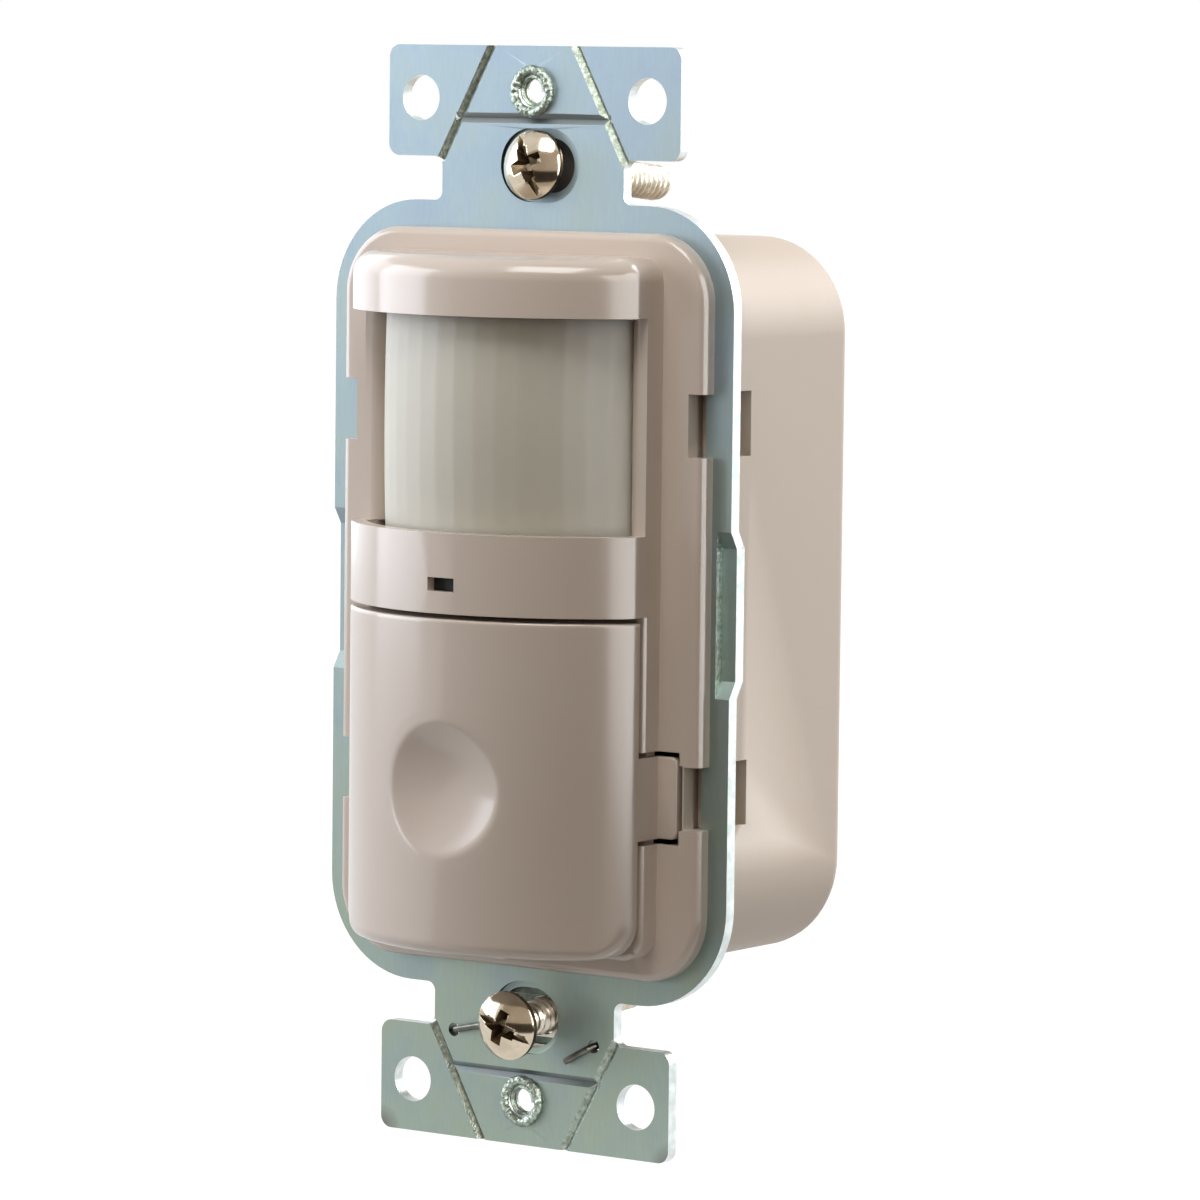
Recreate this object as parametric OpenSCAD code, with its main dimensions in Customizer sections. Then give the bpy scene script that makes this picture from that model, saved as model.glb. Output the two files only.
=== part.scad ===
// Wall-mounted occupancy sensor switch: a steel strap clamped between a bowed front cover and a deep rear housing,
// with a sliding push button in front and two circuit boards inside.
// X runs to the right and Z up as the switch is seen on the wall, and Y runs into the wall.
// The origin is the centre of the ear hole pattern on the strap's back face.

/* [Strap] */
// Overall length of the strap, ear to ear
strap_length = 105.4; // [104:0.1:108]
// Width across the two ears
ear_span = 34.2; // [32.5:0.1:36]
// Height of an ear, from the strap's end
ear_height = 10.64; // [10:0.02:11]
// Width of the neck that joins the ears to the body
neck_width = 21.3; // [20.5:0.1:22.5]
// Width of the strap's body
strap_width = 46.8; // [46:0.1:50]
// Length of the strap's body
strap_body_length = 75.7; // [74.5:0.1:77]
// Outer corner radius of the strap's body
strap_corner_r = 9.8; // [8:0.1:11]
// Corner radius of an ear
ear_corner_r = 1.2; // [0.6:0.1:2]
// Sheet thickness
strap_t = 1.27; // [1.1:0.01:1.5]
// Width of the opening that the cover passes through
opening_width = 38.4; // [38.2:0.1:39.2]
// Length of the opening
opening_length = 66; // [65.8:0.1:67]
// Corner radius of the opening
opening_corner_r = 5; // [4:0.1:6]
// Reach of the four notches in the opening's sides, for the cover's catches
opening_notch = 1.2; // [1.1:0.05:1.4]
// Spacing of the ear holes across the strap
ear_hole_dx = 26.54; // [25.5:0.01:27]
// Distance from the strap's end to the ear holes
ear_hole_end = 5.06; // [4.8:0.01:5.3]
// Diameter of an ear hole
ear_hole_d = 4.4; // [4:0.1:4.8]
// Distance from the strap's end to the tapped wallplate holes
plate_hole_end = 4.3; // [4:0.01:4.6]
// Tapping diameter of a wallplate hole
plate_hole_d = 2.9; // [2.7:0.05:3]
// Outer diameter of the raised burr round a wallplate hole
burr_d = 4.6; // [4.2:0.1:4.8]
// Height of that burr
burr_h = 0.35; // [0.2:0.05:0.5]
// Width of a break-off groove
groove_w = 1; // [0.8:0.1:1.2]
// Depth of a break-off groove
groove_depth = 0.4; // [0.3:0.05:0.6]
// Where a slanting groove leaves the strap's end, from the middle
groove_x = 4.9; // [4:0.1:6]
// Height of the level groove above the ear's inner edge
groove_rise = 3.75; // [3.2:0.05:3.8]
// Length of the sheared jog in each long edge
jog_length = 12.7; // [11:0.1:14]
// Height of the jog's middle
jog_z = -0.2; // [-0.6:0.1:0.6]
// Share of the strap's edge beside the housing that the jog takes
jog_share = 0.6; // [0.5:0.01:0.7]
// Distance that the jog is sheared backwards
jog_shear = 1; // [0.6:0.05:1.1]

/* [Mounting screws] */
// Height of the sunk pocket round each slot
pocket_h = 7; // [6.9:0.1:7.4]
// Depth of the pockets
pocket_depth = 0.5; // [0.45:0.05:0.6]
// Length of the top pocket
pocket_top_length = 9.2; // [8.8:0.1:9.6]
// Rim between the top pocket's edge and its through slot
pocket_top_rim = 0.9; // [0.8:0.05:1.2]
// Sideways place of the top slot
slot_top_x = 0.9; // [0.4:0.1:1.1]
// Length of the bottom pocket
pocket_low_length = 8.1; // [7.9:0.1:8.6]
// Rim between the bottom pocket's edge and its through slot
pocket_low_rim = 0.6; // [0.5:0.05:0.7]
// Sideways place of the bottom slot
slot_low_x = 0.3; // [0.2:0.1:0.5]
// Height of the top slot's middle
slot_top_z = 41.4; // [41:0.1:41.7]
// Depth of the bottom slot's middle below the origin
slot_bottom_z = 40.3; // [40.1:0.1:40.6]
// Head diameter
head_d = 6.6; // [6.2:0.1:6.6]
// Head height
head_h = 1.9; // [1.6:0.1:2.2]
// Thread diameter, number 6
thread_d = 3.5; // [3.3:0.05:3.5]
// Length under the head
screw_length = 20.8; // [19:0.1:25.4]
// Diameter of the plain neck under the head
neck_d = 3; // [2.8:0.05:3.1]
// Length of that neck
neck_length = 3.2; // [2.8:0.1:3.5]
// Sideways place of the top screw
top_screw_x = 0.3; // [0.1:0.1:0.6]
// Droop of the top screw's free end
tilt_top = 5.4; // [4:0.1:6]
// Turn of the top screw's head about its own axis
turn_top = 66; // [0:1:180]
// Sideways place of the bottom screw
pulled_x = 1.3; // [0.6:0.1:1.5]
// Distance that the bottom screw stands forward of the strap
pulled_out = 4; // [3:0.1:5]
// Rise of the bottom screw's free end
tilt_bottom = 3; // [1:0.1:4]
// Turn of the bottom screw's head about its own axis
turn_bottom = 22; // [0:1:180]
// Clearance round a screw's thread
screw_play = 0.15; // [0.1:0.05:0.2]
// Diameter of the washer that keeps the top screw in its slot
retainer_d = 8.4; // [7.8:0.1:9]

/* [Ground clip] */
// Width of the clip plate
clip_width = 11; // [10.6:0.1:12]
// Height of the clip plate
clip_height = 6.7; // [6.3:0.1:7]
// Depth of the flange along the clip's top
clip_flange = 1.9; // [1.6:0.1:2.2]
// Width of the groove that the staple bears on
clip_groove = 0.75; // [0.6:0.05:0.8]
// Sheet thickness of the clip
clip_t = 0.5; // [0.4:0.05:0.6]
// Diameter of the staple's wire
wire_d = 0.65; // [0.5:0.05:0.8]
// Spacing of the staple's legs
staple_dx = 16.6; // [15.6:0.1:17]
// Depth of the legs below the origin
staple_z = 42.3; // [42:0.1:42.5]
// Length of each clinched leg end
clinch_length = 3.5; // [2.5:0.1:3.6]
// Slope of the left clinched end
clinch_left = 13; // [5:1:20]
// Slope of the right clinched end
clinch_right = 29; // [20:1:35]

/* [Front cover] */
// Width of the outer tier
cover_width = 42.5; // [42:0.1:43.5]
// Length of the outer tier
cover_length = 70.6; // [70:0.1:71.6]
// Height of the outer tier above the strap
cover_step = 1.65; // [1.6:0.05:1.9]
// Corner radius of the outer tier
cover_corner_r = 6.5; // [5.5:0.1:8]
// Edge rounding of the outer tier
cover_edge_r = 0.8; // [0.4:0.05:1]
// Width of the inner bezel
bezel_width = 33.1; // [32.9:0.1:33.4]
// Length of the inner bezel
bezel_length = 66.2; // [66:0.1:66.6]
// Height of the bowed face above the strap
bow_height = 14; // [13.5:0.1:15]
// Radius of the bowed face
bow_r = 21.75; // [20.5:0.05:24]
// Rounding between the bowed face and the sides
side_r = 3; // [2.4:0.1:3.4]
// Rounding of the bezel's top edge
top_r = 2.2; // [1.6:0.1:2.6]
// Wall thickness of the mouldings
wall = 1.5; // [1.3:0.05:1.6]
// Height of the side rails above the strap
rail_height = 4.2; // [4:0.05:4.5]
// Edge rounding of the rails
rail_edge_r = 0.6; // [0.3:0.05:0.7]
// Width of a side rail
rail_w = 0.85; // [0.8:0.05:1]
// Lower edge of the lens window
window_low = 7.15; // [6.8:0.05:7.5]
// Upper edge of the lens window
window_high = 27.5; // [27:0.05:28]
// Lower edge of the indicator band
band_low = -0.44; // [-0.6:0.02:-0.3]
// Height of the floor inside the rails above the strap
deck_height = 2.4; // [2.2:0.05:2.6]
// Thickness of that floor
deck_t = 1.4; // [1.2:0.05:1.5]
// Width of the indicator port
port_w = 3.06; // [2.6:0.02:3.4]
// Height of the indicator port
port_h = 1.3; // [1:0.05:1.6]
// Height of the port's middle
port_z = 2.3; // [2:0.05:2.6]
// Height of the snap windows' middle, above and below the origin
snap_z = 17.5; // [17.3:0.05:17.7]
// Length of a snap window
snap_w = 5.95; // [5.6:0.05:6.2]
// Distance that each side notch of the outer tier reaches in
notch_depth = 1.75; // [1.6:0.05:1.9]

/* [Lens] */
// Width of the lens
lens_width = 28.7; // [28:0.1:29]
// Height of the lens's middle above the strap
lens_height = 12.3; // [12:0.05:12.35]
// Height of the lens's side edges above the strap
lens_edge_height = 3.6; // [3.4:0.05:4]
// Hollow of the lens's barrel shape towards its ends
lens_barrel = 0.5; // [0.2:0.05:0.8]
// Thickness of the lens
lens_t = 0.7; // [0.6:0.05:0.9]
// Distance that the lens runs on behind each band
lens_overlap = 1.2; // [0.8:0.05:1.4]

/* [Push button] */
// Gap between the button and what surrounds it
button_gap = 0.5; // [0.4:0.02:0.6]
// Travel of the button
travel = 0.5; // [0.3:0.05:0.5]
// Space under the button's skirt when it is pressed
press_clearance = 0.15; // [0.1:0.05:0.3]
// Corner radius at the button's lower end
button_corner_r = 3.4; // [3:0.1:4.5]
// Rounding of the button's lower front edge
button_low_r = 1.2; // [0.6:0.1:1.4]
// Radius of the finger dimple, measured up and down
dimple_r = 6.3; // [5.5:0.1:6.5]
// Depth of the finger dimple
dimple_depth = 1.5; // [1:0.1:1.6]
// Depth of the dimple's middle below the origin
dimple_z = 17; // [16.5:0.1:17.5]
// Height of a side tab
tab_h = 7.8; // [7:0.1:8]
// Reach of a side tab from the middle
tab_reach = 18.7; // [18.2:0.1:18.8]
// Gap beside a tab
tab_side_gap = 0.3; // [0.28:0.01:0.4]
// Thickness of a tab
tab_t = 1; // [0.8:0.05:1]
// Reach of the hook on each tab's leg under the cover's floor
hook_reach = 0.9; // [0.7:0.05:1]
// Thickness of that hook
hook_t = 0.9; // [0.7:0.05:1]
// Diameter of the post that presses the switch
post_d = 4.4; // [4:0.1:4.8]

/* [Rear housing] */
// Depth of the housing behind the strap
housing_depth = 22.9; // [22.7:0.1:24]
// Corner radius of the housing
housing_corner_r = 9.2; // [8.6:0.1:9.8]
// Rounding of the housing's rear edge
housing_edge_r = 1.8; // [1:0.1:2]
// Wall thickness of the housing
housing_wall = 1.6; // [1.5:0.05:1.7]
// Near edge of a snap window, behind the strap
snap_near = 1.6; // [1.4:0.05:1.8]
// Far edge of a snap window, behind the strap
snap_far = 4.6; // [4.4:0.05:4.8]

/* [Boards] */
// Place of the control board's front face behind the strap
control_y = 4; // [4:0.05:4.4]
// Thickness of the control board
control_t = 1.2; // [1:0.1:1.2]
// Place of the power board's front face behind the strap
power_y = 10; // [9.9:0.05:10.2]
// Thickness of the power board
power_t = 1.6; // [1.4:0.1:1.6]
// Diameter of the infrared sensor's can
pir_d = 8.2; // [8:0.1:8.6]
// Height of the infrared sensor's can
pir_h = 4.4; // [4:0.1:4.6]
// Width of a push-in terminal
terminal_pitch = 8; // [7.6:0.1:8]
// Diameter of a wire entry
wire_entry_d = 3; // [2.8:0.1:3.2]

/* [Hidden] */
$fn = 64;
eps = 0.01;       // overrun of a cut past the face that it opens
fit = 0.2;        // clearance between mouldings that slide together at assembly
slip = 0.05;      // running clearance of a small turning piece
hull_fn = 32;     // facets round a blended edge
far = 40;         // longer than any cut has to reach

almond = "#C9BDB2";
zinc = "#A9B7B9";
nickel = "#C9C4BC";
board_green = "#2F6B3F";
black_plastic = "#26262A";

// Widths and lengths that follow from the strap's opening, and what is left of the strap beside them
spigot_play = 0.25;
spigot_end_play = 0.3;
spigot_wall = 1.2;
spigot_w = opening_width / 2 - spigot_play;
spigot_h = opening_length / 2 - spigot_end_play;
spigot_r = housing_corner_r - housing_wall;
housing_width = 2 * (spigot_w + fit + housing_wall);
housing_length = 2 * (spigot_h + spigot_end_play + housing_wall);
strap_margin = (strap_width - housing_width) / 2;
jog_w = jog_share * strap_margin;
jog_lap = 0.15 * strap_margin;
ear_hole_dz = strap_length - 2 * ear_hole_end;
plate_hole_dz = strap_length - 2 * plate_hole_end;
board_play = 0.35;
control_board_w = 2 * (spigot_w - spigot_wall - board_play);
control_board_l = 2 * (spigot_h - spigot_wall - spigot_end_play);
power_board_w = housing_width - 2 * housing_wall - 1.3;
power_board_l = housing_length - 2 * housing_wall - 1.4;

// Places along Y, all counted from the strap's back face
face_y = -strap_t;
tier_y = face_y - cover_step;
bow_y = face_y - bow_height;
rail_y = face_y - rail_height;
deck_y = face_y - deck_height;
deck_back_y = deck_y + deck_t;
skirt_y = rail_y - travel - press_clearance;
control_back_y = control_y + control_t;
power_back_y = power_y + power_t;
housing_floor_y = housing_depth - housing_wall;
spigot_y = 1;

ear_low = strap_length / 2 - ear_height;
bezel_top = bezel_length / 2;
rail_inner = bezel_width / 2 - rail_w;
button_top = band_low - button_gap;
button_low = -bezel_top + 0.4;
window_mid = (window_low + window_high) / 2;
snap_arm_w = snap_w - 0.75;
tab_mid_z = -dimple_z - 0.6;
trimmer_x = 9;
trimmer_z = -7.5;
post_x = control_board_w / 2 - 0.9;
post_z = 24;
cover_post_d = 2.2;
boss_x = power_board_w / 2 - 3;
boss_z = [-18.5, 28.6];
boss_d = 3.6;

// A flat outline in the X and Z directions, made solid from y0 to y1
module slab(y0, y1) translate([0, y1, 0]) rotate([90, 0, 0]) linear_extrude(y1 - y0) children();

// A round bar or hole along Y
module rod(x, z, d, y0, y1) translate([x, y0, z]) rotate([-90, 0, 0]) cylinder(d = d, h = y1 - y0);

// A box given by its two corners
module block(a, b) translate(a) cube(b - a);

module mirrored_x() {
    children();
    mirror([1, 0, 0]) children();
}

module mirrored_z() {
    children();
    mirror([0, 0, 1]) children();
}

// A rectangle with round corners, centred
module round_rect(w, h, r) {
    offset(r) square([w - 2 * r, h - 2 * r], center = true);
}

// A level slot with round ends, centred
module obround(length, h) {
    square([length - h, h], center = true);
    for (side = [-1, 1]) translate([side * (length - h) / 2, 0]) circle(d = h);
}

// A rounded rectangular plate with its front and rear edges blended
module soft_slab(w, h, r, y0, y1, front_r = 0, back_r = 0) {
    hull() for (x = [-1, 1], z = [-1, 1])
        translate([x * (w / 2 - r), 0, z * (h / 2 - r)]) rotate([-90, 0, 0])
            rotate_extrude($fn = 2 * hull_fn) polygon(edge_profile(r, y0, y1, front_r, back_r));
}

// Half section of a corner of that plate, from its axis to its rounded edge
function edge_profile(r, y0, y1, front_r, back_r) = concat(
    [[0, y0]],
    front_r > 0 ? arc(r - front_r, y0 + front_r, front_r, -90, 0, 5) : [[r, y0]],
    back_r > 0 ? arc(r - back_r, y1 - back_r, back_r, 0, 90, 5) : [[r, y1]],
    [[0, y1]]);

function arc(cx, cy, r, a0, a1, n) = [for (i = [0:n]) let (a = a0 + (a1 - a0) * i / n) [cx + r * cos(a), cy + r * sin(a)]];

// The bowed section seen from above: a round front between two straight sides, with a blend at each corner.
// inset moves the whole section inwards.
function bow(half_w, front_y, r, corner, back_y, inset = 0) =
    let (w = half_w - inset, f = front_y + inset, br = r - inset, c = max(corner - inset, 0.2),
         drop = sqrt(pow(br - c, 2) - pow(w - c, 2)), turn = atan2(w - c, drop), cy = f + br - drop)
    concat([[-w, back_y]],
           [for (i = [0:5]) let (t = 90 - (90 - turn) * i / 5) [-(w - c) - c * sin(t), cy - c * cos(t)]],
           [for (i = [1:23]) let (t = -turn + 2 * turn * i / 24) [br * sin(t), f + br - br * cos(t)]],
           [for (i = [0:5]) let (t = turn + (90 - turn) * i / 5) [w - c + c * sin(t), cy - c * cos(t)]],
           [[w, back_y]]);

// Joins level sections, listed from the bottom up as [height, points], into one solid
module stacked(levels) {
    n = len(levels[0][1]);
    rows = len(levels);
    polyhedron(
        points = [for (level = levels, p = level[1]) [p[0], p[1], level[0]]],
        faces = concat([[for (j = [0:n - 1]) j]],
                       [[for (j = [0:n - 1]) rows * n - 1 - j]],
                       [for (i = [0:rows - 2], j = [0:n - 1])
                            let (k = (j + 1) % n) [i * n + j, (i + 1) * n + j, (i + 1) * n + k, i * n + k]]));
}

// How far a quarter-round edge of radius r has drawn in at distance d from the end
function edge_inset(d, r) = d >= r ? 0 : r - sqrt(pow(r, 2) - pow(r - d, 2));

// Strap
module groove(p, q) {
    run = q - p;
    reach = norm(run) + 1;
    translate([p[0], face_y, p[1]]) rotate([0, -atan2(run[1], run[0]), 0]) translate([-0.5, 0, 0])
        rotate([0, 90, 0]) linear_extrude(reach)
            polygon([[-groove_w / 2, -eps], [groove_w / 2, -eps], [0, groove_depth]]);
}

module strap_outline() {
    round_rect(strap_width, strap_body_length, strap_corner_r);
    offset(-0.9) offset(0.9) union() {
        square([neck_width, strap_length - 1], center = true);
        square([strap_width - 2 * strap_corner_r, strap_body_length], center = true);
        for (z = [-1, 1]) translate([0, z * (strap_length - ear_height) / 2])
            round_rect(ear_span, ear_height, ear_corner_r);
    }
}

module screw_slot(x, z, length, rim) translate([x, 0, z]) {
    slab(face_y - eps, face_y + pocket_depth) obround(length, pocket_h);
    slab(face_y - eps, eps) obround(length - 2 * rim, pocket_h - 2 * rim);
}

module strap_end_grooves() {
    slant_end = [neck_width / 2, ear_low];
    slant_start = [groove_x, strap_length / 2];
    level_z = ear_low + groove_rise;
    level_x = slant_start[0] + (slant_end[0] - slant_start[0]) * (slant_start[1] - level_z) / ear_height;
    mirrored_x() groove(slant_end, slant_start);
    groove([-level_x, level_z], [level_x, level_z]);
}

// The edge strip that is sheared half through and pushed back
module jog_outline() {
    inner = strap_width / 2 - jog_w;
    half = jog_length / 2;
    polygon([[inner, jog_z - half - jog_w / 2], [strap_width / 2 + eps, jog_z - half],
             [strap_width / 2 + eps, jog_z + half], [inner, jog_z + half + jog_w / 2]]);
}

module jog_strip() {
    inner = strap_width / 2 - jog_w;
    half = jog_length / 2;
    polygon([[inner - jog_lap, jog_z - half - jog_w / 2], [inner, jog_z - half - jog_w / 2],
             [strap_width / 2, jog_z - half], [strap_width / 2, jog_z + half],
             [inner, jog_z + half + jog_w / 2], [inner - jog_lap, jog_z + half + jog_w / 2]]);
}

module strap() color(zinc) {
    difference() {
        union() {
            difference() {
                slab(face_y, 0) strap_outline();
                mirrored_x() slab(face_y - eps, eps) jog_outline();
            }
            mirrored_x() slab(face_y + jog_shear, jog_shear) jog_strip();
            for (z = [-1, 1]) rod(0, z * plate_hole_dz / 2, burr_d, face_y - burr_h, face_y);
        }
        slab(face_y - eps, eps) round_rect(opening_width, opening_length, opening_corner_r);
        for (z = [-1, 1])
            block([-opening_width / 2 - opening_notch, face_y - eps, z * snap_z - snap_w / 2],
                  [opening_width / 2 + opening_notch, eps, z * snap_z + snap_w / 2]);
        for (x = [-1, 1], z = [-1, 1])
            rod(x * ear_hole_dx / 2, z * ear_hole_dz / 2, ear_hole_d, face_y - eps, eps);
        for (z = [-1, 1]) {
            rod(0, z * plate_hole_dz / 2, plate_hole_d, face_y - burr_h - eps, eps);
            translate([0, face_y - burr_h - eps, z * plate_hole_dz / 2]) rotate([-90, 0, 0])
                cylinder(d1 = plate_hole_d + 0.8, d2 = plate_hole_d, h = 0.4);
        }
        screw_slot(slot_top_x, slot_top_z, pocket_top_length, pocket_top_rim);
        screw_slot(slot_low_x, -slot_bottom_z, pocket_low_length, pocket_low_rim);
        mirrored_z() strap_end_grooves();
        for (x = [-1, 1]) rod(x * staple_dx / 2, -staple_z, 2 * wire_d, face_y - eps, eps);
    }
}

// Front cover
module bowed_block(low, high, inset, back_y) {
    stacked(concat(
        [[low, bow(bezel_width / 2, bow_y, bow_r, side_r, back_y, inset)]],
        [for (i = [0:6]) let (a = 15 * i, d = top_r * (1 - sin(a)))
            [high - d, bow(bezel_width / 2, bow_y, bow_r, side_r, back_y, inset + edge_inset(d, top_r))]]));
}

module cover_body() {
    soft_slab(cover_width, cover_length, cover_corner_r, tier_y, face_y, front_r = cover_edge_r);
    soft_slab(bezel_width, bezel_length, 2.6, rail_y, face_y - 0.5, front_r = rail_edge_r);
    difference() {
        bowed_block(band_low, bezel_top, 0, tier_y + 0.5);
        block([-bezel_width, -far, window_low], [bezel_width, rail_y, window_high]);
    }
}

module cover_hollow() {
    // inside of the bowed face
    stacked([for (z = [band_low + 1.3, bezel_top - wall])
        [z, bow(bezel_width / 2, bow_y, bow_r, side_r, deck_y, wall)]]);
    // lens window and button well between the rails
    block([-rail_inner, -far, window_low], [rail_inner, deck_y, window_high]);
    block([-rail_inner, -far, -bezel_top + rail_w], [rail_inner, deck_y, band_low - eps]);
    // lens opening, indicator opening, switch and trimmer holes through the deck
    block([-lens_width / 2 - 0.4, deck_y - eps, window_low - lens_overlap - 0.3],
          [lens_width / 2 + 0.4, far, window_high + lens_overlap + 0.3]);
    block([-port_w / 2, deck_y - eps, port_z - port_h / 2], [port_w / 2, far, port_z + port_h / 2]);
    rod(0, -dimple_z, post_d + 1.2, deck_y - eps, far);
    for (x = [-1, 1]) rod(x * trimmer_x, trimmer_z, 5.4, deck_y - eps, far);
    // underside, between the deck and the spigot
    slab(deck_back_y, far)
        round_rect(2 * (spigot_w - spigot_wall), 2 * (spigot_h - spigot_wall), spigot_r - spigot_wall);
    block([-port_w / 2, -far, port_z - port_h / 2], [port_w / 2, deck_y - 5, port_z + port_h / 2]);
}

module snap_arm() {
    block([spigot_w - 1.4, face_y + 0.4, snap_z - snap_arm_w / 2],
          [spigot_w, snap_far - 0.3, snap_z + snap_arm_w / 2]);
    block([spigot_w - eps, snap_near + 0.15, snap_z - snap_arm_w / 2],
          [housing_width / 2 - 0.4, snap_far - 0.3, snap_z + snap_arm_w / 2]);
}

module tab_clearance() {
    block([rail_inner, -far, tab_mid_z - tab_h / 2 - button_gap],
          [tab_reach + tab_side_gap, face_y + eps, tab_mid_z + tab_h / 2 + button_gap]);
}

module front_cover() color(almond) {
    difference() {
        union() {
            cover_body();
            slab(face_y - eps, spigot_y)
                round_rect(2 * spigot_w, 2 * spigot_h, spigot_r);
        }
        cover_hollow();
        for (x = [0, 1]) mirror([x, 0, 0]) {
            tab_clearance();
            for (z = [-1, 1])
                block([cover_width / 2 - notch_depth, -far, z * snap_z - snap_w / 2],
                      [far, face_y + eps, z * snap_z + snap_w / 2]);
        }
    }
    for (x = [-1, 1], z = [-1, 1]) rod(x * post_x, z * post_z, cover_post_d, deck_back_y - eps, control_y);
    mirrored_x() mirrored_z() snap_arm();
}

// Lens
lens_low = window_low - lens_overlap;
lens_high = window_high + lens_overlap;
lens_sag = lens_height - lens_edge_height;
lens_r = (pow(lens_width / 2, 2) + pow(lens_sag, 2)) / (2 * lens_sag);

function lens_section(t, inset, back_y) =
    bow(lens_width / 2, face_y - lens_height + lens_barrel * pow(t, 2), lens_r, 0.3, back_y, inset);

module lens() color("#D9D8CC") difference() {
    union() {
        stacked([for (i = [-4:4]) let (t = i / 4)
            [window_mid + t * (lens_high - lens_low) / 2, lens_section(t, 0, deck_back_y)]]);
        slab(deck_back_y, deck_back_y + 0.8) translate([0, window_mid])
            square([lens_width + 1.8, lens_high - lens_low + 1.8], center = true);
    }
    stacked([for (i = [-4:4]) let (t = i / 4)
        [window_mid + t * ((lens_high - lens_low) / 2 - 0.8), lens_section(t, lens_t, deck_back_y + 2)]]);
}

// Push button
function button_levels(inset, low, high, back_y) =
    [for (i = [0:11]) let (d = i < 6 ? button_corner_r * (1 - cos(15 * i)) : button_corner_r + (high - low - button_corner_r) * (i - 5) / 6,
                           half_w = bezel_width / 2 - edge_inset(d, button_corner_r))
        [low + d, bow(half_w, bow_y + edge_inset(d, button_low_r), bow_r, side_r, back_y, inset)]];

module tab() {
    inner = rail_inner + fit;
    low = tab_mid_z - tab_h / 2;
    high = tab_mid_z + tab_h / 2;
    hook_y = deck_back_y + 0.1;
    block([inner, skirt_y - eps, low], [bezel_width / 2, tier_y + tab_t, high]);
    slab(tier_y, tier_y + tab_t) hull() {
        translate([inner, low]) square([0.5, tab_h]);
        for (z = [low + 0.6, high - 0.6]) translate([tab_reach - 0.6, z]) circle(r = 0.6, $fn = hull_fn);
    }
    block([inner, tier_y, low + 1], [inner + 1.1, hook_y + hook_t, high - 1]);
    block([inner - fit - hook_reach, hook_y, low + 1], [inner + eps, hook_y + hook_t, high - 1]);
}

module push_button() color(almond) {
    dimple_ball = (pow(dimple_r, 2) + pow(dimple_depth, 2)) / (2 * dimple_depth);
    difference() {
        union() {
            difference() {
                stacked(button_levels(0, button_low, button_top, skirt_y));
                stacked(button_levels(wall, button_low + wall, button_top - wall, skirt_y + 1));
            }
            rod(0, -dimple_z, 2 * dimple_r + 2, bow_y + wall - 0.3, bow_y + 2 * wall + 0.4);
        }
        translate([0, bow_y + dimple_depth - dimple_ball, -dimple_z]) sphere(r = dimple_ball);
    }
    rod(0, -dimple_z, post_d, bow_y + 2 * wall, plunger_y - press_gap);
    mirrored_x() tab();
}

// Rear housing
module rear_housing() color(almond) {
    inner_w = housing_width - 2 * housing_wall;
    inner_l = housing_length - 2 * housing_wall;
    difference() {
        soft_slab(housing_width, housing_length, housing_corner_r, 0, housing_depth, back_r = housing_edge_r);
        soft_slab(inner_w, inner_l, housing_corner_r - housing_wall, -1, housing_floor_y, back_r = 0.8);
        for (x = [0, 1], z = [-1, 1]) mirror([x, 0, 0])
            block([inner_w / 2 - 1, snap_near, z * snap_z - snap_w / 2], [far, snap_far, z * snap_z + snap_w / 2]);
        block([-terminal_half_w - fit, power_back_y, terminal_low - fit], [terminal_half_w + fit, far, terminal_high + fit]);
    }
    for (x = [-1, 1], z = boss_z) rod(x * boss_x, z, boss_d, power_back_y, housing_floor_y + eps);
}

// Screws, standing on their heads' undersides, with the thread along +Z
module machine_screw() {
    dome_r = (pow(head_d / 2, 2) + pow(head_h - 0.6, 2)) / (2 * (head_h - 0.6));
    difference() {
        union() {
            rotate([180, 0, 0]) cylinder(d = head_d, h = 0.6);
            intersection() {
                translate([0, 0, dome_r - head_h]) sphere(r = dome_r);
                translate([0, 0, -head_h]) cylinder(d = head_d, h = head_h - 0.6 + eps);
            }
        }
        block([-head_d, -0.45, -head_h - eps], [head_d, 0.45, -head_h + 0.8]);
        block([-0.45, -1.7, -head_h - eps], [0.45, 1.7, -head_h + 1.1]);
    }
    cylinder(d = neck_d, h = neck_length);
    translate([0, 0, neck_length]) cylinder(d = thread_d, h = screw_length - neck_length - 0.8);
    translate([0, 0, screw_length - 0.8]) cylinder(d1 = thread_d, d2 = thread_d - 0.9, h = 0.8);
}

top_head_y = face_y + 0.1;
bottom_head_y = face_y - pulled_out;
bottom_head_z = -slot_bottom_z - pulled_out * tan(tilt_bottom) + 0.1;

module at_top_screw() translate([top_screw_x, top_head_y, slot_top_z]) rotate([-90 - tilt_top, 0, 0]) children();
module at_bottom_screw() translate([pulled_x, bottom_head_y, bottom_head_z]) rotate([-90 + tilt_bottom, 0, 0]) children();

module mount_screw_top() color(nickel) at_top_screw() rotate(turn_top) machine_screw();

module mount_screw_bottom() color(nickel) at_bottom_screw() rotate(turn_bottom) machine_screw();

module screw_retainer() color("#3A3532") at_top_screw() difference() {
    translate([0, 0, strap_t + 0.45]) cylinder(d = retainer_d, h = 0.8);
    cylinder(d = neck_d + 2 * slip, h = far);
}

// Ground clip
clip_top = -slot_bottom_z + 2.05;
clip_hole_z = bottom_head_z + (pulled_out + strap_t + clip_t / 2) * tan(tilt_bottom);
groove_z = -staple_z - 0.25;

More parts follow.
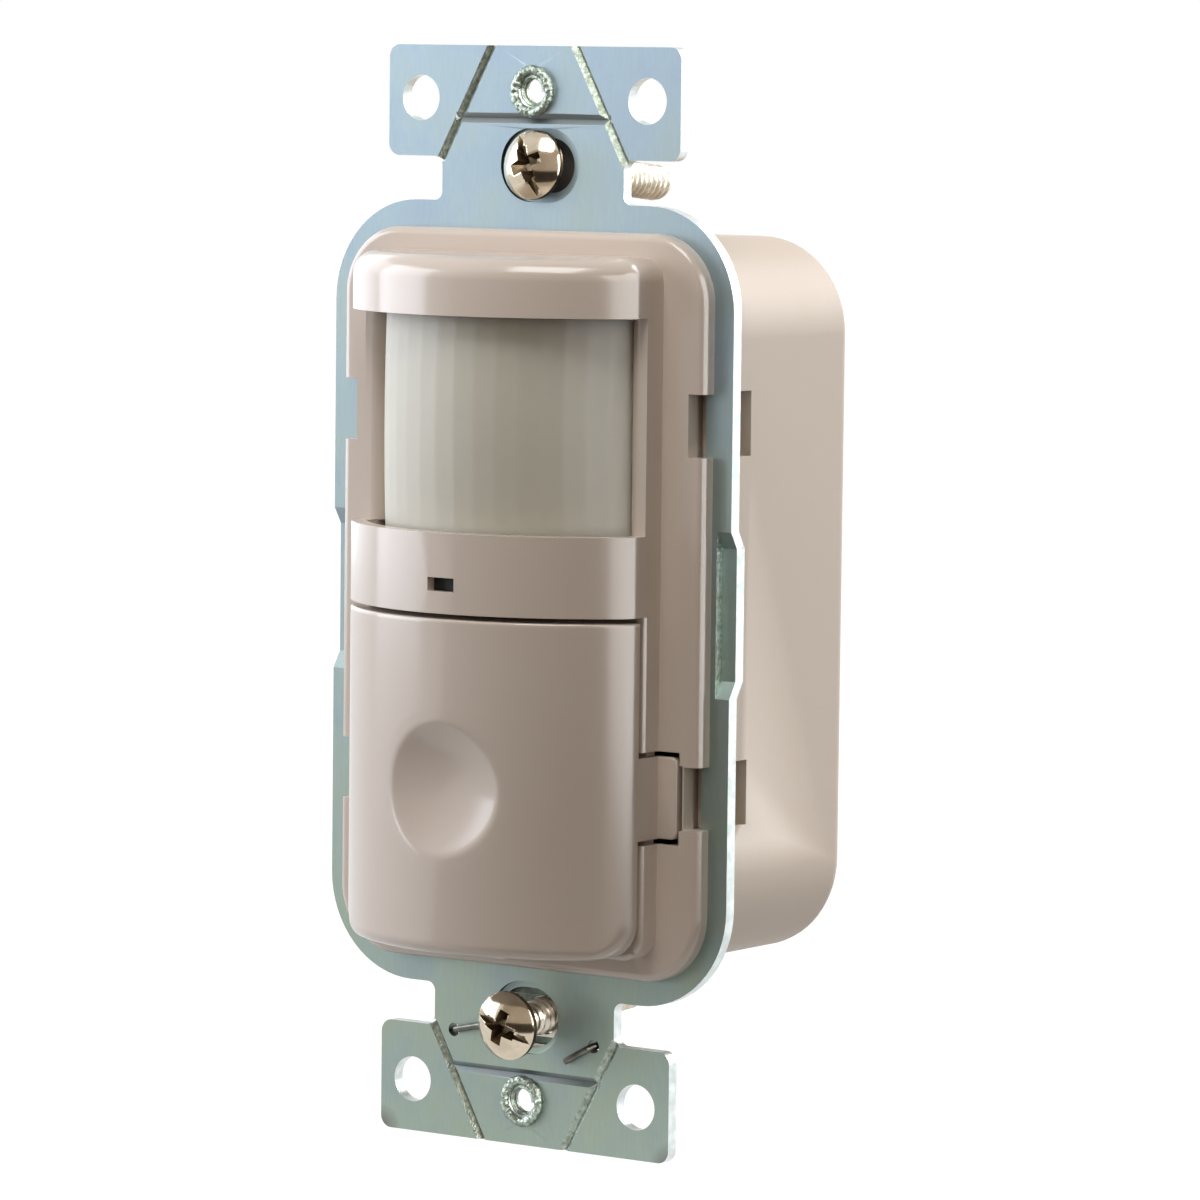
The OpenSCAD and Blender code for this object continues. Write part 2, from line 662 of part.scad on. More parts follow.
module ground_clip() color("#D8D2C4") translate([slot_low_x, 0, 0]) difference() {
    union() {
        block([-clip_width / 2, 0, clip_top - clip_height], [clip_width / 2, clip_t, clip_top]);
        block([-clip_width / 2, clip_t - eps, clip_top - clip_t], [clip_width / 2, clip_flange, clip_top]);
        translate([-clip_width / 2, clip_t, groove_z]) rotate([0, 90, 0]) cylinder(d = 1, h = clip_width);
    }
    block([-clip_width, -eps, groove_z - clip_groove / 2], [clip_width, 0.35, groove_z + clip_groove / 2]);
    rod(pulled_x - slot_low_x, clip_hole_z, thread_d + 2 * screw_play, -eps, far);
}

// A wire staple: its bridge lies behind the clip and its ends are clinched on the strap's face
module wire(p, q) {
    run = q - p;
    flat = norm([run[0], run[1]]);
    translate(p) rotate([0, atan2(flat, run[2]), atan2(run[1], run[0])]) cylinder(d = wire_d, h = norm(run));
}

module clip_staple() color("#B9B4AC") {
    half = staple_dx / 2;
    bridge_y = clip_t + wire_d / 2 + 0.55;
    end_y = face_y - wire_d / 2;
    for (side = [-1, 1]) {
        turn = side < 0 ? clinch_left : clinch_right;
        wire([side * half, bridge_y, -staple_z], [side * half, end_y, -staple_z]);
        wire([side * half, end_y, -staple_z],
             [side * (half - clinch_length * cos(turn)), end_y, -staple_z - side * clinch_length * sin(turn)]);
        translate([side * half, bridge_y, -staple_z]) sphere(d = wire_d);
        translate([side * half, end_y, -staple_z]) sphere(d = wire_d);
    }
    wire([-half, bridge_y, -staple_z], [half, bridge_y, -staple_z]);
}

// Boards
module control_board() color(board_green) difference() {
    slab(control_y, control_back_y) round_rect(control_board_w, control_board_l, 6);
    for (i = [0:header_pin_count - 1]) header_pin(i, fit / 2);
}

module power_board() color(board_green) difference() {
    slab(power_y, power_back_y) round_rect(power_board_w, power_board_l, 6.6);
    for (i = [0:header_pin_count - 1]) header_pin(i, fit / 2);
}

header_pin_count = 7;
header_pitch = 2.54;
header_z = -1.5;

module header_pin(i, room = 0) {
    x = (i - (header_pin_count - 1) / 2) * header_pitch;
    half = 0.32 + room;
    block([x - half, control_y - 0.6, header_z - half], [x + half, power_back_y + 0.8, header_z + half]);
}

module header_strip() color(black_plastic) difference() {
    block([-header_pin_count * header_pitch / 2, control_back_y, header_z - 1.25],
          [header_pin_count * header_pitch / 2, power_y, header_z + 1.25]);
    for (i = [0:header_pin_count - 1]) header_pin(i, slip);
}

module header_pins() color("#C9A85A") for (i = [0:header_pin_count - 1]) header_pin(i);

// Sensing parts on the control board's front
pir_z = window_mid;

module pir_can() color("#B8B8B4") difference() {
    union() {
        rod(0, pir_z, pir_d + 1, control_y - 0.6, control_y);
        rod(0, pir_z, pir_d, control_y - pir_h, control_y - 0.6 + eps);
    }
    block([-2.4, control_y - pir_h - eps, pir_z - 1.9], [2.4, control_y - pir_h + 0.5, pir_z + 1.9]);
}

module pir_filter() color("#3B3A4A")
    block([-2.35, control_y - pir_h + 0.1, pir_z - 1.85], [2.35, control_y - pir_h + 0.5, pir_z + 1.85]);

module light_cell() color("#C08A4A") rod(10, window_low + 4, 4.3, control_y - 2, control_y);

led_tip_y = control_y - 5.8;

module indicator_led() color("#B8E0B0") {
    rod(0, port_z, 3.6, control_y - 1, control_y);
    rod(0, port_z, 3, led_tip_y + 1.5, control_y - 1 + eps);
    translate([0, led_tip_y + 1.5, port_z]) sphere(d = 3);
}

// The smoked guide that carries the lamp's light to the port
module light_guide() color("#1C1A1C") {
    block([-port_w / 2 + 0.1, bow_y + 1.2, port_z - port_h / 2 + 0.1],
          [port_w / 2 - 0.1, led_tip_y - 0.2, port_z + port_h / 2 - 0.1]);
    block([-2.4, deck_y - 0.8, port_z - 1.1], [2.4, deck_y, port_z + 1.1]);
}

// Switch and trimmers under the button
switch_y = control_y - 3.2;
plunger_y = switch_y - 1.8;
press_gap = 0.3;
plunger_travel = travel / 2;

module tact_switch() color(black_plastic) difference() {
    block([-3, switch_y, -dimple_z - 3], [3, control_y, -dimple_z + 3]);
    rod(0, -dimple_z, 3.4 + 4 * slip, switch_y - eps, switch_y + 0.4 + plunger_travel + 0.15);
}

module tact_plunger() color("#5A2A22") rod(0, -dimple_z, 3.4, plunger_y, switch_y + 0.4);

module at_trimmer(side) translate([side * trimmer_x, 0, trimmer_z]) children();

module trimmer_bodies() color("#2E5FA8") for (side = [-1, 1]) at_trimmer(side) difference() {
    block([-3.4, switch_y, -3.4], [3.4, control_y, 3.4]);
    rod(0, 0, 2, switch_y - eps, switch_y + 1.6);
}

module trimmer_dial() {
    front = switch_y - 2.2;
    difference() {
        rod(0, 0, 4.8, front, switch_y - slip);
        block([-far, front - eps, -0.4], [far, front + 0.8, 0.4]);
        block([0, front - eps, -1], [0.8, front + 0.5, 1]);
    }
    rod(0, 0, 2 - 2 * slip, switch_y - slip - eps, switch_y + 1.5);
}

module time_dial() color("#E8E2D2") at_trimmer(-1) trimmer_dial();

module light_dial() color("#E8E2D2") at_trimmer(1) trimmer_dial();

module chip(x, z, w, h) {
    block([x - w / 2, control_back_y + 0.15, z - h / 2], [x + w / 2, control_back_y + 1.6, z + h / 2]);
    for (side = [-1, 1], i = [-2:2])
        block([x + side * (w / 2 + 0.5) - 0.5 - eps, control_back_y, z + i * 1.27 - 0.2],
              [x + side * (w / 2 + 0.5) + 0.5, control_back_y + 0.5, z + i * 1.27 + 0.2]);
}

module controller_chips() color(black_plastic) {
    chip(0, 12, 4, 8.6);
    chip(-8, -14, 4, 6.6);
}

// Mains parts on the power board's rear, which reach almost to the housing's floor
head_room = 0.4;

module relay() color("#2A2A30") {
    soft_block([-16, power_back_y + 0.3, 3], [-3.6, housing_floor_y - 0.2, 26], 0.5);
    for (x = [-14, -6], z = [6, 23]) rod(x, z, 1, power_back_y, power_back_y + 0.3 + eps);
}

// A box with its upright edges rounded
module soft_block(a, b, r) {
    mid = (a + b) / 2;
    size = b - a;
    translate([mid[0], 0, mid[2]]) slab(a[1], b[1]) round_rect(size[0], size[2], r);
}

terminal_count = 3;
terminal_half_w = terminal_count * terminal_pitch / 2;
terminal_low = -31;
terminal_high = -21;
terminal_y = housing_depth - 0.2;
entry_z = -27;
release_z = -23;
pocket_y = 15.5;

module each_terminal() {
    for (i = [0:terminal_count - 1]) translate([(i - (terminal_count - 1) / 2) * terminal_pitch, 0, 0]) children();
}

module terminal_block() color("#D9D4C8") difference() {
    block([-terminal_half_w, power_back_y, terminal_low], [terminal_half_w, terminal_y, terminal_high]);
    each_terminal() {
        rod(0, entry_z, wire_entry_d, pocket_y - eps, far);
        block([-1.3, pocket_y - eps, release_z - 0.6], [1.3, far, release_z + 0.6]);
        block([-3, power_back_y - eps, terminal_low + 1], [3, pocket_y, terminal_high - 1]);
    }
}

// Each contact is an angle that lies on the board and stands up beside the wire
module terminal_contacts() color("#C79A4A") each_terminal() {
    wire_side = entry_z - wire_entry_d / 2 - 0.1;
    block([-2.6, power_back_y, wire_side - 0.6], [2.6, power_back_y + 0.6, terminal_high - 1.1]);
    block([-2.6, power_back_y + 0.6 - eps, wire_side - 0.6], [2.6, pocket_y - 0.3, wire_side]);
}

// Each spring is a bent strip that stands on its contact and leans towards the wire
module terminal_springs() color("#C8CCD0") each_terminal() {
    strip_t = 0.3;
    foot_y = power_back_y + 0.6 + strip_t / 2;
    top_y = pocket_y - 0.4;
    back_z = terminal_high - 1.5;
    path = [[foot_y, back_z - 0.6], [foot_y, back_z], [top_y, back_z], [top_y, release_z - 0.5],
            [foot_y + 0.9, entry_z + wire_entry_d / 2 + 0.2]];
    translate([-2, 0, 0]) rotate([90, 0, 90]) linear_extrude(4) for (i = [0:len(path) - 2]) hull() {
        translate(path[i]) circle(d = strip_t, $fn = 12);
        translate(path[i + 1]) circle(d = strip_t, $fn = 12);
    }
}

module film_capacitor() color("#C9A227")
    soft_block([0, power_back_y, 10], [5.5, housing_floor_y - 0.7, 23], 0.6);

module bulk_capacitors() color("#26303A") for (z = [22, 12.6]) rod(11.6, z, 8, power_back_y, housing_floor_y - head_room);

module varistor() color("#2F5FB0") translate([11.2, power_back_y, 2.4]) {
    disc_d = housing_floor_y - power_back_y - 0.9;
    translate([0, housing_floor_y - power_back_y - head_room - disc_d / 2, 0]) cylinder(d = disc_d, h = 3.4);
    for (x = [-2.5, 2.5]) rod(x, 1.7, 0.8, 0, 2);
}

module fuse_resistor() color("#7A6A4A") translate([6.9, power_back_y, -6.6]) {
    translate([-4.5, 2, 0]) rotate([0, 90, 0]) cylinder(d = 3.2, h = 9);
    for (side = [-1, 1]) {
        rod(side * 5.4, 0, 0.8, 0, 2.4);
        translate([side * 4.9, 2, 0]) rotate([0, 90, 0]) cylinder(d = 0.6, h = 1.2, center = true);
    }
}

module choke() color("#3B2A22") translate([-9.5, power_back_y, -8]) {
    top = housing_floor_y - power_back_y - head_room - 0.9;
    flange = 1;
    rod(0, 0, 8, 0, flange);
    rod(0, 0, 6.4, flange, top - flange);
    rod(0, 0, 8, top - flange, top);
}

module rectifier() color(black_plastic)
    block([2.6, power_back_y, -15.4], [9, power_back_y + 2.5, -10.6]);

strap();
front_cover();
lens();
push_button();
rear_housing();
mount_screw_top();
mount_screw_bottom();
screw_retainer();
ground_clip();
clip_staple();
control_board();
power_board();
header_strip();
header_pins();
pir_can();
pir_filter();
light_cell();
indicator_led();
light_guide();
tact_switch();
tact_plunger();
trimmer_bodies();
time_dial();
light_dial();
controller_chips();
relay();
terminal_block();
terminal_contacts();
terminal_springs();
film_capacitor();
bulk_capacitors();
varistor();
fuse_resistor();
choke();
rectifier();
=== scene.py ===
"""Looks of an occupancy sensor switch: steel strap, almond mouldings, milky lens and plated screws."""
from math import asin, atan2, cos, pi, radians, sin, sqrt

import bmesh
import bpy
from mathutils import Matrix, Vector


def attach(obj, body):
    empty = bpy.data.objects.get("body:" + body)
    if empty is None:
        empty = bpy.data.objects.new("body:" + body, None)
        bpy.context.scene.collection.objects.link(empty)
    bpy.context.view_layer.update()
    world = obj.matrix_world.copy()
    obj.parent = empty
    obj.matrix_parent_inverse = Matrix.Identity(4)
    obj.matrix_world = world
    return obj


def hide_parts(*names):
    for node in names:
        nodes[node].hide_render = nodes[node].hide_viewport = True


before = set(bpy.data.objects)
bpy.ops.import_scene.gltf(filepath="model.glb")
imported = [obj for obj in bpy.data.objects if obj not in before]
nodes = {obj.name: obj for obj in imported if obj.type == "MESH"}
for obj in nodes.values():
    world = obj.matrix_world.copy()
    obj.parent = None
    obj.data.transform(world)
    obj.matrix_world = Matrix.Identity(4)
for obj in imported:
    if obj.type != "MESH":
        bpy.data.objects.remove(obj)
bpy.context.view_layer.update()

MM = 0.001

# Places that the pieces share with the frame, in millimetres
FACE_Y = -1.27          # front face of the strap
TIER_Y = -2.92          # front of the cover's outer tier
DECK_Y = -3.67          # floor inside the cover's rails
DECK_BACK_Y = -2.27     # rear of that floor
BOW_Y = -15.27          # middle of the bowed face
BOW_R = 21.75           # radius of the bowed face
SIDE_R = 3.0            # blend between the bowed face and the sides
BEZEL_HALF = 16.55      # half width of the inner bezel
RAIL_INNER = 15.7       # inner side of the rails
SKIRT_Y = -6.12         # rear edge of the button's skirt
FLOOR_Z = -52.7         # lower end of the strap

# Lengths that the script works with, in millimetres
OVERLAP = 0.1           # how far joined forms run into each other
SEAM = 0.05             # the same for thin forms
SINK = 0.005            # how far a filler lies behind the face that it meets
CLEAR = 1.0             # how far a cutter reaches past what it cuts

FLAT = 0.97             # a face counts as level where its normal's share along the axis is above this


# Colours, nodes and finishes

def linear(code):
    """An sRGB colour such as #C9BDB2 as linear red, green, blue and alpha."""
    channels = [int(code[i:i + 2], 16) / 255 for i in (1, 3, 5)]
    return [c / 12.92 if c <= 0.04045 else ((c + 0.055) / 1.055) ** 2.4 for c in channels] + [1.0]


def add(tree, kind, inputs=None, **settings):
    """Adds one node, its kind without ShaderNode; inputs are values, or sockets or nodes to link from."""
    is_whole = kind.startswith(("GeometryNode", "NodeGroup"))
    node = tree.nodes.new(kind if is_whole else "ShaderNode" + kind)
    for name, value in settings.items():
        setattr(node, name, value)
    for name, value in enumerate(inputs) if isinstance(inputs, list) else (inputs or {}).items():
        source = value.outputs[0] if isinstance(value, bpy.types.Node) else value
        if isinstance(source, bpy.types.NodeSocket):
            tree.links.new(source, node.inputs[name])
        else:
            node.inputs[name].default_value = source
    return node


def per(size):
    """Texture scale at which one feature is size millimetres across."""
    return 1 / (size * MM)


def new_material(name):
    material = bpy.data.materials.new(name)
    material.use_nodes = True
    material.node_tree.nodes.clear()
    return material, material.node_tree


def moulded(name, colour, tone, roughness, grain, depth, ior=1.53, **extra):
    """A moulded plastic: a slow drift between two tones, and a fine grain that breaks the gloss."""
    material, tree = new_material(name)
    place = add(tree, "TexCoord").outputs["Object"]
    drift = add(tree, "TexNoise", {"Vector": place, "Scale": per(14), "Detail": 2.0})
    mix = add(tree, "Mix", {0: drift, 6: linear(colour), 7: linear(tone)}, data_type="RGBA")
    skin = add(tree, "TexNoise", {"Vector": place, "Scale": per(grain), "Detail": 3.0})
    polish = add(tree, "MapRange", {
        "Value": skin, "To Min": roughness * 0.85, "To Max": roughness * 1.15})
    bump = add(tree, "Bump", {"Height": skin, "Strength": 1.0, "Distance": depth * MM})
    shader = add(tree, "BsdfPrincipled",
                 {"Base Color": mix.outputs[2], "Roughness": polish, "IOR": ior, "Normal": bump, **extra})
    add(tree, "OutputMaterial", {"Surface": shader})
    return material


def metal(name, colour, tone, roughness, patch, grain, depth, stretch=(1, 1, 1)):
    """A bare or plated metal: two tones in patches, and a fine grain that may be drawn out one way."""
    material, tree = new_material(name)
    place = add(tree, "TexCoord").outputs["Object"]
    drawn = add(tree, "Mapping", {"Vector": place, "Scale": stretch})
    patches = add(tree, "TexNoise", {"Vector": place, "Scale": per(patch), "Detail": 3.0})
    lines = add(tree, "TexNoise", {"Vector": drawn, "Scale": per(grain), "Detail": 2.0})
    spread = add(tree, "MapRange", {"Value": patches, "From Min": 0.35, "From Max": 0.65})
    mix = add(tree, "Mix", {0: spread, 6: linear(colour), 7: linear(tone)}, data_type="RGBA")
    polish = add(tree, "MapRange", {
        "Value": lines, "To Min": roughness * 0.75, "To Max": roughness * 1.25})
    bump = add(tree, "Bump", {"Height": lines, "Strength": 1.0, "Distance": depth * MM})
    shader = add(tree, "BsdfPrincipled",
                 {"Base Color": mix.outputs[2], "Metallic": 1.0, "Roughness": polish, "Normal": bump})
    add(tree, "OutputMaterial", {"Surface": shader})
    return material


def passivated(name):
    """Zinc under a clear passivate: bluer at the top of the strap and greener below, with tints and stains;
    the top is also painted lighter, as painted light from above.
    """
    material, tree = new_material(name)
    place = add(tree, "TexCoord").outputs["Object"]
    split = add(tree, "SeparateXYZ", [place]).outputs
    # Painted light: the body colour turns lighter and bluer towards the top of the strap, darker and greener
    # below
    height = add(tree, "MapRange", {
        "Value": split["Z"], "From Min": FLOOR_Z * MM, "From Max": -FLOOR_Z * MM})
    body = add(tree, "Mix", {0: height, 6: linear("#8D998E"), 7: linear("#97A7AF")},
               data_type="RGBA")
    cloud = add(tree, "TexNoise", {"Vector": place, "Scale": per(9), "Detail": 4.0, "Roughness": 0.6})
    tint = add(tree, "ValToRGB", {"Fac": cloud})
    ramp = tint.color_ramp.elements
    ramp[0].position = 0.36
    ramp[0].color = linear("#C3BC9C")
    ramp[1].position = 0.66
    ramp[1].color = linear("#A9A9C4")
    ramp.new(0.5).color = linear("#B9BDBC")
    tinted = add(tree, "Mix", {0: 0.38, 6: body.outputs[2], 7: tint}, data_type="RGBA",
                 blend_type="SOFT_LIGHT")
    # Brown stain in the lower corners of the lower ears
    side = add(tree, "Math", [split["X"]], operation="ABSOLUTE")
    spot = add(tree, "CombineXYZ", {0: side, 2: split["Z"]})
    corner = (17.3 * MM, 0, -52.9 * MM)
    reach = add(tree, "VectorMath", [spot, corner], operation="DISTANCE")
    wander = add(tree, "Math", [cloud, 4 * MM, reach.outputs["Value"]],
                 operation="MULTIPLY_ADD")
    stain = add(tree, "MapRange", {
        "Value": wander, "From Min": 2.4 * MM, "From Max": 4.6 * MM, "To Min": 0.75, "To Max": 0.0})
    stained = add(tree, "Mix", {0: stain, 6: tinted.outputs[2], 7: linear("#5F5355")},
                  data_type="RGBA")
    # Upright rolling lines
    drawn = add(tree, "Mapping", {"Vector": place, "Scale": (1, 1, 0.12)})
    lines = add(tree, "TexNoise", {"Vector": drawn, "Scale": per(0.2), "Detail": 2.0})
    streak = add(tree, "MapRange", {
        "Value": lines, "From Min": 0.3, "From Max": 0.7, "To Min": 0.975, "To Max": 1.02})
    rolled = add(tree, "VectorMath", {0: stained.outputs[2], 3: streak}, operation="SCALE")
    polish = add(tree, "MapRange", {"Value": cloud, "To Min": 0.42, "To Max": 0.58})
    bump = add(tree, "Bump", {"Height": lines, "Strength": 1.0, "Distance": 0.005 * MM})
    shader = add(tree, "BsdfPrincipled",
                 {"Base Color": rolled, "Metallic": 1.0, "Roughness": polish, "Normal": bump})
    add(tree, "OutputMaterial", {"Surface": shader})
    return material


# Rolled steel sheet, zinc plated with a clear blue passivate: bluish grey with faint upright rolling lines
zinc_sheet = passivated("zinc_blue_passivated")

# Polished moulded ABS in light almond: soft, broad reflections that bleach towards the lamps
almond_gloss = moulded("abs_almond_polished", "#C9BDB2", "#C4B6A9", 0.17, 0.9, 0.0018)
# The same resin from a spark-eroded mould: an even, dull sheen; its tone is a little lighter than the
# polished cover's, as painted light on the housing
almond_satin = moulded("abs_almond_satin", "#CDBFB1", "#C8B9AA", 0.56, 0.35, 0.006)
# Milky high-density polyethylene: waxy and slightly green, it lets some light through
milky_lens = moulded("polyethylene_milky", "#C4C0B1", "#BDB9A9", 0.52, 0.7, 0.003, ior=1.54, **{
    "Subsurface Weight": 0.85, "Subsurface Radius": (1.0, 1.0, 0.8), "Subsurface Scale": 0.0025})
# Dark smoked acrylic of the lamp's guide: nearly black, with a soft sheen
smoked_acrylic = moulded("acrylic_smoked", "#020203", "#040405", 0.6, 1.0, 0.001, ior=1.49)
# Vulcanised fibre washer: dull, dark and slightly mottled
black_fibre = moulded("vulcanised_fibre_black", "#2E2B29", "#3A3633", 0.7, 0.3, 0.01)

# Sheared and plated edges of the sheet: brighter than the rolled faces, with fine marks across them
zinc_edge = metal("zinc_sheared_edge", "#D9DEDC", "#BFC9C8", 0.36, 1.2, 0.22, 0.02, (1, 0.15, 1))
# Coined grooves, where the passivate pools and turns yellow-green over a torn surface
zinc_groove = metal("zinc_coined_groove", "#7E877A", "#A9B3A8", 0.36, 0.45, 0.16, 0.07)
# The level groove, pressed less deeply: a cool grey
zinc_level = metal("zinc_pressed_groove", "#87908F", "#8E9192", 0.42, 3, 0.2, 0.01)
# Walls of the sunk slots and punched holes, and the ground clip's groove and top: painted shade, dark with a
# greenish sheen
zinc_painted_shade = metal("zinc_wall_painted_shade", "#4C524A", "#6B7568", 0.32, 1.5, 0.25, 0.02)
# Nickel-plated steel of the screws: warm, bright and close to a mirror
nickel_plate = metal("nickel_plated_steel", "#CDC1AC", "#BFB29C", 0.13, 1.5, 0.4, 0.0015)
# Walls of the slot and the cross recess: brown where the plating is thin, and darker than the head as painted
# shade in the recess
nickel_recess_shade = metal("nickel_thin_and_shaded_recess", "#5E5140", "#7B6C57", 0.3, 0.8, 0.2, 0.004)
# Rolled and plated threads of the screws: lighter and less polished than the heads
nickel_thread = metal("nickel_rolled_thread", "#D6CDBD", "#BDB3A3", 0.32, 0.8, 0.2, 0.004)
# Tin-plated spring steel of the ground clip
tin_plate = metal("tinned_spring_steel", "#DAD4C6", "#CBC6B8", 0.28, 2, 0.2, 0.003, (0.1, 1, 1))
# Bright drawn wire of the staple
drawn_wire = metal("galvanised_wire", "#6B6A62", "#4E4D47", 0.3, 1.2, 0.15, 0.003)


# Meshes

def placed(name, data):
    """A new object with the data, linked into the scene."""
    thing = bpy.data.objects.new(name, data)
    bpy.context.collection.objects.link(thing)
    return thing


def new_piece(name, points, faces):
    """A piece from points in millimetres."""
    mesh = bpy.data.meshes.new(name)
    mesh.from_pydata([Vector(p) * MM for p in points], [], faces)
    mesh.update()
    return placed(name, mesh)


def settle(piece):
    """Puts the result of a piece's modifiers into its mesh and removes them."""
    graph = bpy.context.evaluated_depsgraph_get()
    mesh = bpy.data.meshes.new_from_object(piece.evaluated_get(graph))
    piece.modifiers.clear()
    piece.data = mesh
    return piece


def shade(piece, angle=35):
    piece.data.shade_smooth()
    piece.data.set_sharp_from_angle(angle=radians(angle))


def rounded(piece, width, angle=30, segments=3):
    """Rounds a piece's edges by width millimetres and evens out its shading."""
    shade(piece)
    edge = piece.modifiers.new("edge", "BEVEL")
    edge.width = width * MM
    edge.segments = segments
    edge.limit_method = "ANGLE"
    edge.angle_limit = radians(angle)
    piece.modifiers.new("normals", "WEIGHTED_NORMAL").keep_sharp = True
    return settle(piece)


def copy_of(node, name):
    """A copy of a CAD node's mesh, its points merged and its flat faces joined."""
    mesh = nodes[node].data.copy()
    mesh.name = name
    shape = bmesh.new()
    shape.from_mesh(mesh)
    bmesh.ops.remove_doubles(shape, verts=shape.verts, dist=0.0005 * MM)
    bmesh.ops.dissolve_limit(shape, angle_limit=radians(0.3), verts=shape.verts, edges=shape.edges)
    shape.to_mesh(mesh)
    shape.free()
    mesh.materials.clear()
    return placed(name, mesh)


def joined(name, pieces):
    """Several pieces as one."""
    shape = bmesh.new()
    for piece in pieces:
        shape.from_mesh(piece.data)
        bpy.data.objects.remove(piece)
    mesh = bpy.data.meshes.new(name)
    shape.to_mesh(mesh)
    shape.free()
    return placed(name, mesh)


def dress(piece, body, slot, material, *replaced):
    """Gives a piece its finish, its body and the CAD nodes that it stands for."""
    if material:
        piece.data.materials.clear()
        piece.data.materials.append(material)
    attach(piece, body)
    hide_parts(*replaced)


def quarter(steps):
    """The angles that divide a quarter turn into steps."""
    return [pi / 2 * i / steps for i in range(steps + 1)]


def block(low, high, name="block"):
    """A closed box between two corners in millimetres."""
    points = [(x, y, z) for z in (low[2], high[2]) for y in (low[1], high[1]) for x in (low[0], high[0])]
    faces = [(0, 2, 3, 1), (4, 5, 7, 6), (0, 1, 5, 4), (2, 6, 7, 3), (0, 4, 6, 2), (1, 3, 7, 5)]
    return new_piece(name, points, faces)


def prism(name, outline, low, high, along):
    """A closed prism of an outline in millimetres: along 0, 1 or 2 is the axis that it is drawn out on."""
    points = []
    for end in (low, high):
        for pair in outline:
            point = list(pair)
            point.insert(along, end)
            points.append(point)
    count = len(outline)
    faces = [tuple(range(count)), tuple(range(count, 2 * count))]
    faces += [(i, (i + 1) % count, count + (i + 1) % count, count + i) for i in range(count)]
    piece = new_piece(name, points, faces)
    shape = bmesh.new()
    shape.from_mesh(piece.data)
    bmesh.ops.recalc_face_normals(shape, faces=shape.faces)
    shape.to_mesh(piece.data)
    shape.free()
    return piece


def turned(name, profile, steps=96):
    """A closed body turned from (radius, height) points in millimetres, listed from pole to pole."""
    inner = profile[1:-1]
    angles = [2 * pi * i / steps for i in range(steps)]
    points = [(0, 0, profile[0][1])]
    points += [(r * cos(a), r * sin(a), h) for r, h in inner for a in angles]
    points.append((0, 0, profile[-1][1]))
    faces = [(0, 1 + (i + 1) % steps, 1 + i) for i in range(steps)]
    for row in range(len(inner) - 1):
        start = 1 + row * steps
        faces += [(start + i, start + (i + 1) % steps, start + steps + (i + 1) % steps, start + steps + i)
                  for i in range(steps)]
    last = 1 + (len(inner) - 1) * steps
    faces += [(last + i, last + (i + 1) % steps, len(points) - 1) for i in range(steps)]
    return new_piece(name, points, faces)


def cut(piece, cutters):
    """Cuts closed shapes out of a piece, then divides large faces so that rounding can't fold them."""
    for cutter in cutters:
        tool = piece.modifiers.new("cut", "BOOLEAN")
        tool.object = cutter
        tool.operation = "DIFFERENCE"
        tool.solver = "EXACT"
    settle(piece)
    for cutter in cutters:
        bpy.data.objects.remove(cutter)
    shape = bmesh.new()
    shape.from_mesh(piece.data)
    bmesh.ops.remove_doubles(shape, verts=shape.verts, dist=0.002 * MM)
    bmesh.ops.triangulate(shape, faces=[face for face in shape.faces if len(face.verts) > 4])
    shape.to_mesh(piece.data)
    shape.free()
    return piece


def grown(name, tree, inputs, base=None):
    """A piece grown by a geometry tree from named inputs, as a plain mesh."""
    piece = base or placed(name, bpy.data.meshes.new(name))
    modifier = piece.modifiers.new("grow", "NODES")
    modifier.node_group = tree
    for socket in tree.interface.items_tree:
        if socket.in_out == "INPUT" and socket.name in inputs:
            modifier[socket.identifier] = inputs[socket.name]
    graph = bpy.context.evaluated_depsgraph_get()
    mesh = bpy.data.meshes.new_from_object(piece.evaluated_get(graph))
    mesh.name = name
    bpy.data.objects.remove(piece)
    return placed(name, mesh)


def new_tree(name, sizes):
    """An empty geometry tree with named float inputs and a material input, and its input sockets."""
    tree = bpy.data.node_groups.new(name, "GeometryNodeTree")
    tree.interface.new_socket("Geometry", in_out="INPUT", socket_type="NodeSocketGeometry")
    tree.interface.new_socket("Geometry", in_out="OUTPUT", socket_type="NodeSocketGeometry")
    for size in sizes:
        tree.interface.new_socket(size, in_out="INPUT", socket_type="NodeSocketFloat")
    tree.interface.new_socket("Material", in_out="INPUT", socket_type="NodeSocketMaterial")
    return tree, add(tree, "NodeGroupInput").outputs


def finish_tree(tree, geometry, material):
    real = add(tree, "GeometryNodeRealizeInstances", {"Geometry": geometry})
    painted = add(tree, "GeometryNodeSetMaterial", {"Geometry": real, "Material": material})
    add(tree, "NodeGroupOutput", {"Geometry": painted})


# Strap

STRAP_T = -FACE_Y
STRAP_HALF = 23.4
JOG_INNER = 21.8        # inner side of the strip that is sheared back
JOG_Z = -0.2
JOG_HALF = 6.35
JOG_RAMP = 1.5          # length over which the strap's edge bends back to the strip
JOG_SHEAR = 1.0         # how far the strip is sheared back
GROOVE_DEPTH = 0.4
SLOT_Z = 40.85          # mean height of the two screw slots
SLOT_MID_X = 0.6
SLOT_REACH_X = 5.2      # half width of the sunk and punched area round a slot
SLOT_REACH_Z = 4.2
STAPLE_HALF = 8.3
STAPLE_Z = -42.3
STAPLE_REACH = 0.9      # half size of the area round a hole of the staple
STRIP_MARGIN = 0.15     # how far inside the strip's inner side its finish begins
WALL_MARGIN = 0.2       # how far outside that side a torn wall may lie
PLATE_HOLE_Z = 48.4
PLATE_HOLE_R = 1.45
ROLLED, SHEARED, SLANTED_GROOVE, LEVEL_GROOVE, SHADED_WALL = range(5)
STRAP_FINISHES = (zinc_sheet, zinc_edge, zinc_groove, zinc_level, zinc_painted_shade)


